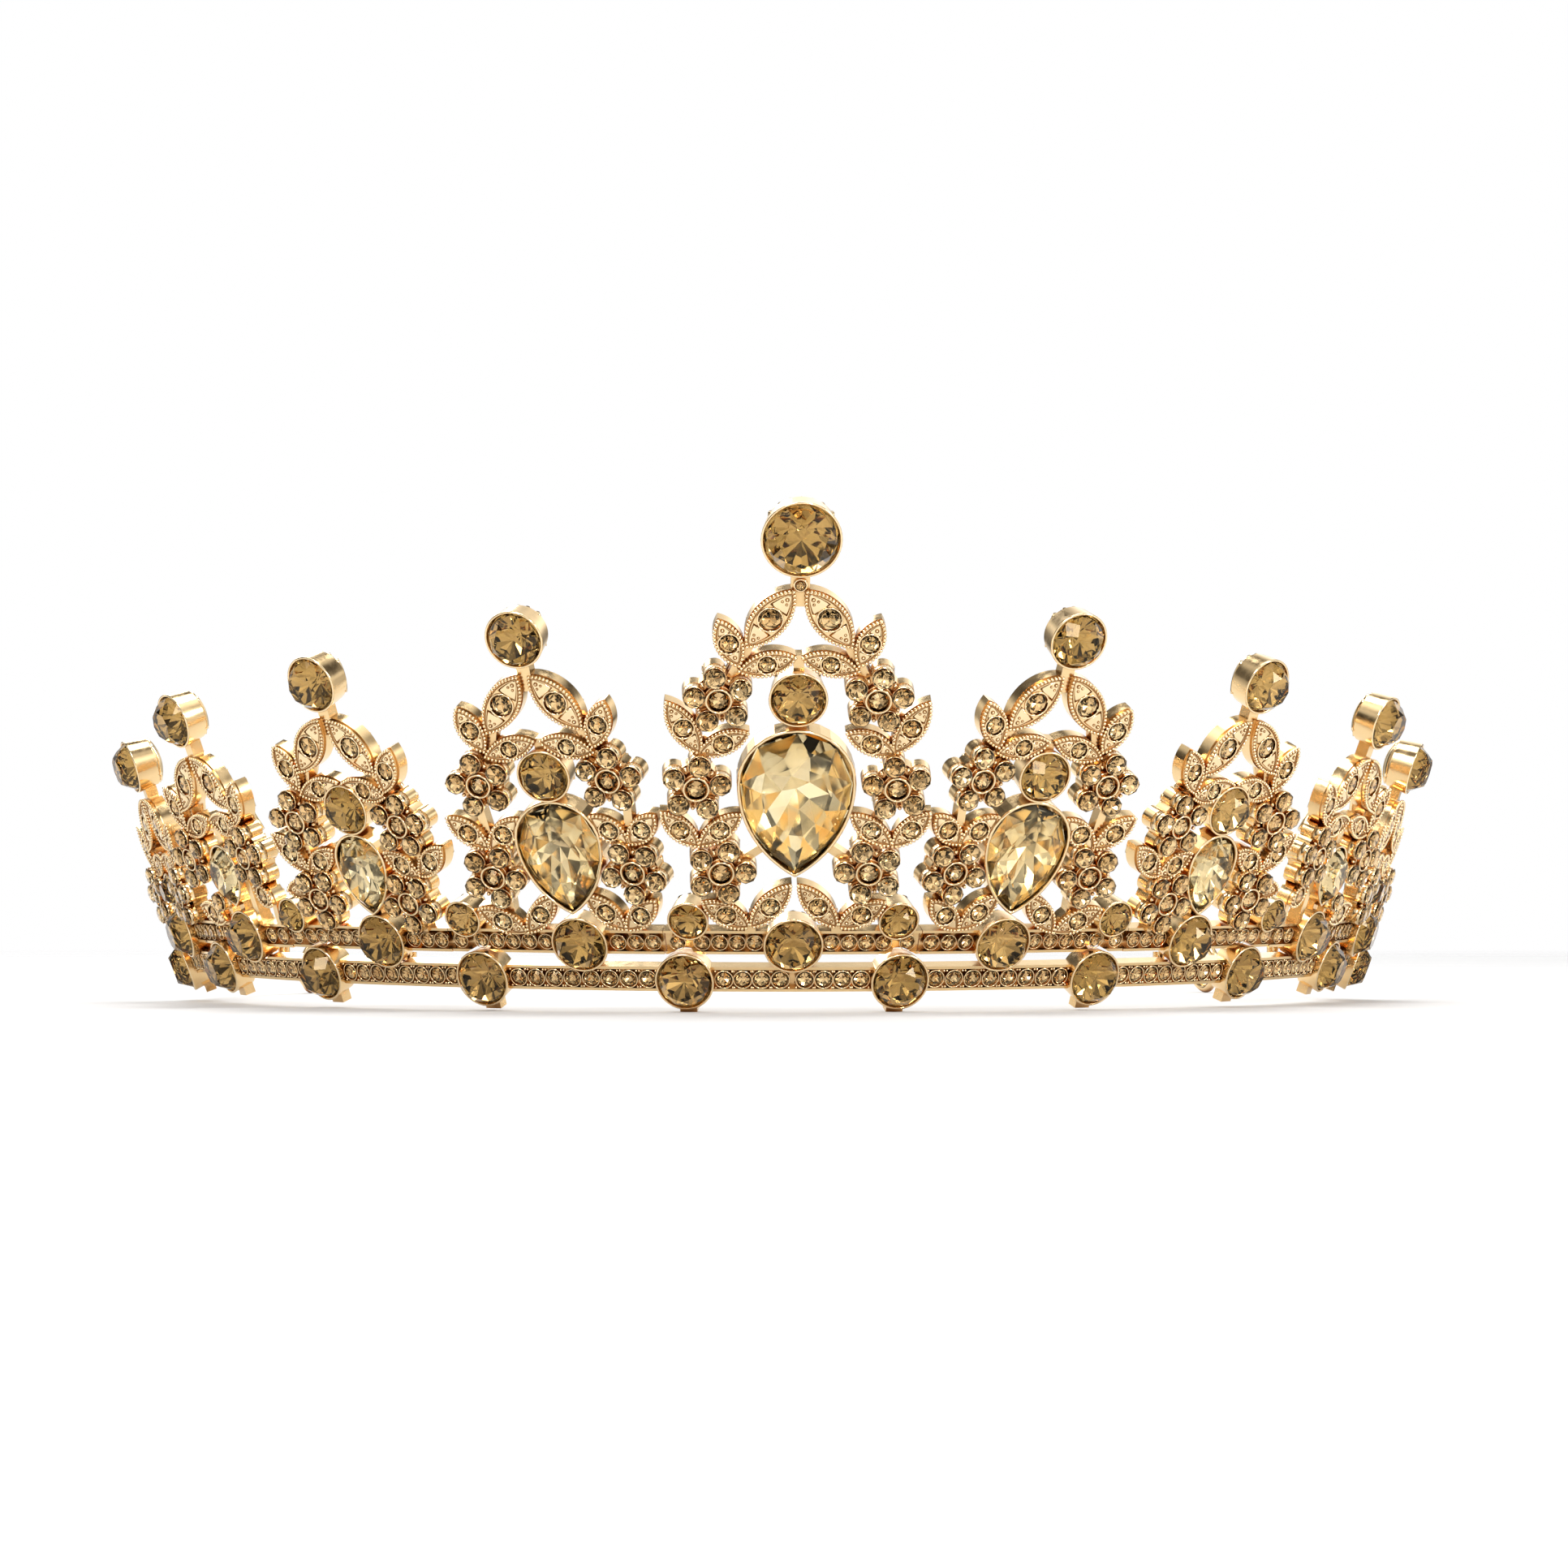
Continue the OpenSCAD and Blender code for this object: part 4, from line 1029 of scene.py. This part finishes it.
# ---- one casting
class Dress:
    """What the scene adds to casting k on one side, as four meshes."""

    def __init__(self, k, side):
        self.k, self.side = k, side
        self.here = placed(spire_frame(k), side)
        self.front, self.back = Shape(), Shape()
        self.stones, self.foils = Shape(smooth=False), Shape(smooth=False)

    def petal_cup(self, matrix):
        """A petal: a thin bezel that a stone fills from edge to edge."""
        self.front.add(*lathe([(BEZEL_R + r, w) for r, w in BEZEL], 24, closed=True), matrix)
        add_small_stone(self.stones, self.foils, matrix, PETAL_D, PETAL_TABLE,
                        PETAL_TOP + PETAL_SET)

    def leaves(self):
        for foot, tip, width, stone in LEAF_ROWS[self.k]:
            add_leaf(self.front, self.k, self.here, foot, tip, width, stone)
            if stone > 0:
                add_small_foil(self.foils, self.here @ pad((foot + tip) / 2, 0), stone,
                               LEAF_TABLE, LEAF_STONE_BACK)

    def flowers(self):
        for middle, petals in FLOWER_ROWS[self.k]:
            add_flower(self.front, self.here, middle, petals)
            add_small_foil(self.foils, self.here @ pad(middle, 0), FLOWER_D, FLOWER_TABLE,
                           FLOWER_STONE_BACK)
            for q in petals:
                turned = math.degrees(math.atan2(*(q - middle)[::-1]))
                self.petal_cup(self.here @ pad(q, 0) @ turn("z", turned))
        for q in single_cups_of(self.k):
            self.petal_cup(self.here @ pad(q, 0))

    def cups(self):
        cups = [(self.here @ pad(p, 0), d) for p, d in round_cups_of(self.k)]
        cups += [(placed(m, self.side), d) for m, d in band_cups(self.k)]
        for matrix, d in cups:
            add_cup_rim(self.front, matrix, d)
            add_dome_ribs(self.back, matrix, d)
            self.foils.add(*round_foil(d), matrix, IN_ROUND)

    def pear(self):
        k = self.k
        add_pear_rim(self.front, self.here, k)
        middle = self.here @ shift(0, SPIRES[k].pear_v, 0)
        points, faces, slots = pear_foil(k)
        self.foils.add(points, faces, middle, slots)
        self.foils.add(*pear_backing(k), middle, BEHIND_PEAR)

    def tiny_stone(self):
        s = SPIRES[self.k]
        stem = self.here @ shift(0, s.top_v - s.top_d / 2 - TINY_DROP, 0)
        self.front.add(*lathe(TINY_CUP, 20), stem)
        add_small_stone(self.stones, self.foils, stem, TINY_D, TINY_TABLE, TINY_BACK)

    def upper_band(self):
        k = self.k
        for h in upper_band_headings(k):
            spot = placed(upper_frame(k, h), self.side)
            add_small_stone(self.stones, self.foils, spot, UPPER_STONE_D, SMALL_TABLE,
                            BAND_STONE_BACK)
            add_band_ring(self.front, spot, UPPER_STONE_D, UPPER_RING)
        for h in rib_headings(*stretch(k)):
            self.back.add(*band_rib(), placed(upper_frame(k, h), self.side))

    def build(self):
        k = self.k
        label = "center" if k == 0 else ("right_%d" if self.side > 0 else "left_%d") % k
        self.leaves()
        self.flowers()
        self.cups()
        if SPIRES[k].pear_l > 0:
            self.pear()
        if k == 0:
            self.tiny_stone()
        add_flat_ribs(self.back, self.here, k)
        add_rods(self.back, self.here, k)
        self.upper_band()
        self.front.build("front_trim_" + label, [GOLD_TRIM, GOLD_FOR_SHADE], "gold")
        self.back.build("back_ribs_" + label, [GOLD_TRIM], "gold")
        self.stones.build("set_stones_" + label, [SMALL_GLASS], "small_glass")
        self.foils.build("foils_" + label, FOILS, "round_glass")


for k in range(5):
    for side in ((1,) if k == 0 else (1, -1)):
        Dress(k, side).build()


# ---- the lower band
def small_stones_along():
    """Lengths along the curve of the lower band's small stones, as in the solids."""
    cup_r, pitch = LARGE_D / 2 + CUP_WALL, BAND_STONE_D + 2 * GAP
    at = [length_at(h) for h in LOWER]
    end = length_at(END_HEADING)
    marks = [at[0] - cup_r - GAP - BAND_STONE_D / 2 - i * pitch for i in range(4)]
    for a, b in zip(at, at[1:] + [end]):
        room = b - a - 2 * cup_r - 2 * GAP - BAND_STONE_D
        n = math.floor(room / pitch)
        marks += [a + cup_r + GAP + BAND_STONE_D / 2 + room * i / n for i in range(n + 1)]
    return marks + [end + cup_r + pitch / 2 + GAP]


band_trim, band_foils = Shape(), Shape(smooth=False)
for side in (1, -1):
    for s in small_stones_along():
        spot = placed(lower_frame(heading_at(s)), side)
        add_small_foil(band_foils, spot, BAND_STONE_D, SMALL_TABLE, BAND_STONE_BACK)
        add_band_ring(band_trim, spot, BAND_STONE_D, LOWER_RING)
        for u in (1, -1):
            for v in (1, -1):
                corner = shift(u * CORNER_AT, v * CORNER_AT, CORNER_W)
                band_trim.add(*bead(CORNER_R), spot @ corner)
    for h in LOWER + [END_HEADING]:
        spot = placed(lower_frame(h), side)
        add_cup_rim(band_trim, spot, LARGE_D)
        band_foils.add(*round_foil(LARGE_D), spot, IN_ROUND)
for side in (1, -1):
    for h in rib_headings(0.0, 90.0):
        band_trim.add(*band_rib(), placed(lower_frame(h), side))
band_trim.build("lower_band_trim", [GOLD_TRIM], "gold")
band_foils.build("lower_band_foils", FOILS, "round_glass")

# ---- floor
# In metres: a disc of pale paper that fades out between two distances from the tiara
FLOOR_R, FLOOR_STEPS, FADE_FROM, FADE_TO = 2.4, 64, 0.22, 0.9
PAPER = [(0.3, (0.68, 0.68, 0.685)), (0.7, (0.71, 0.71, 0.71))]
PAPER_TONE, PAPER_ROUGH = 30.0, 0.75

mesh = bpy.data.meshes.new("floor")
mesh.from_pydata(circle(FLOOR_R, 0, FLOOR_STEPS), [], [tuple(range(FLOOR_STEPS))])
floor = in_scene("floor", mesh)
paper, tree, shader, where = nodes_of("paper")
feed(tree, shader, {"Base Color": ramp(tree, noise(tree, where, PAPER_TONE), PAPER),
                    "Roughness": PAPER_ROUGH})
reach = new(tree, "VectorMath", {0: where}, operation="LENGTH").outputs["Value"]
fade = new(tree, "MixShader", {0: span(tree, reach, FADE_FROM, FADE_TO, 0.0, 1.0),
                               1: shader.outputs[0],
                               2: new(tree, "BsdfTransparent").outputs[0]})
feed(tree, tree.nodes["Material Output"], {"Surface": fade.outputs[0]})
mesh.materials.append(paper)

# ---- light
# The studio that the metal and the stones reflect: bands by height, times soft patches
SKY = [(0.0, (0.5, 0.5, 0.5)), (0.25, (0.32, 0.31, 0.3)), (0.45, (0.9, 0.9, 0.9)),
       (0.7, (0.45, 0.44, 0.43)), (1.0, (1.3, 1.3, 1.3))]
SKY_FROM = -0.1
PATCHES, PATCH_SCALE = [(0.36, (0.14, 0.13, 0.12)), (0.6, (1.95, 1.95, 1.95))], 1.5
# Area lights: place, size, power
LIGHTS = {"key": ((-0.35, -0.75, 0.75), 0.4, 5.8), "fill": ((0.8, -0.45, 0.4), 0.25, 2.8),
          "top": ((0.05, 0.1, 0.9), 0.5, 4.0), "spark": ((0.25, -0.9, 0.25), 0.1, 2.0),
          "back": ((-0.3, 0.8, 0.6), 0.4, 2.5)}
TARGET = (0.0, 0.0, 0.028)

# A plain white backdrop for the camera, and the studio for everything else
world = bpy.data.worlds.new("studio")
bpy.context.scene.world = world
world.use_nodes = True
tree = world.node_tree
tree.nodes.clear()
direction = new(tree, "TexCoord").outputs["Generated"]
height = new(tree, "SeparateXYZ", {0: direction}).outputs["Z"]
sky = ramp(tree, span(tree, height, SKY_FROM, 1.0, 0.0, 1.0), SKY)
patches = ramp(tree, noise(tree, direction, PATCH_SCALE, 0.0), PATCHES)
studio = new(tree, "Background", {"Color": mixed(tree, 1.0, sky, patches, "MULTIPLY")})
plain = new(tree, "Background", {"Color": (1.0, 1.0, 1.0)})
choose = new(tree, "MixShader", {0: new(tree, "LightPath").outputs["Is Camera Ray"],
                                 1: studio.outputs[0], 2: plain.outputs[0]})
new(tree, "OutputWorld", {"Surface": choose.outputs[0]})


def aim(thing, at, target):
    """Puts a lamp or the camera in its place and turns it towards a target."""
    d = np.subtract(target, at)
    thing.location = at
    yaw, pitch = math.atan2(-d[0], d[1]), math.atan2(d[2], math.hypot(d[0], d[1]))
    thing.rotation_euler = (math.pi / 2 + pitch, 0, yaw)


for name, (at, size, power) in LIGHTS.items():
    lamp = bpy.data.lights.new(name, "AREA")
    lamp.shape, lamp.size, lamp.energy = "DISK", size, power
    aim(in_scene(name, lamp), at, TARGET)

# ---- camera
# The photo's azimuth, just above the floor. The width is what the view takes in at the distance.
AZIMUTH, ELEVATION, DISTANCE, VIEW_W = -2.1, -2.0, 0.471, 0.19
CENTRE = (0.0, -0.02, 0.027)
SENSOR, CLIP_START = 36.0, 0.005

camera = bpy.data.cameras.new("camera")
camera.sensor_width = SENSOR
camera.lens = SENSOR * DISTANCE / VIEW_W
camera.clip_start = CLIP_START
eye = in_scene("camera", camera)
a, e = math.radians(AZIMUTH), math.radians(ELEVATION)
aim(eye, (CENTRE[0] + DISTANCE * math.sin(a) * math.cos(e),
          CENTRE[1] - DISTANCE * math.cos(a) * math.cos(e),
          CENTRE[2] + DISTANCE * math.sin(e)), CENTRE)
bpy.context.scene.camera = eye
bpy.context.scene.view_settings.view_transform = "Standard"
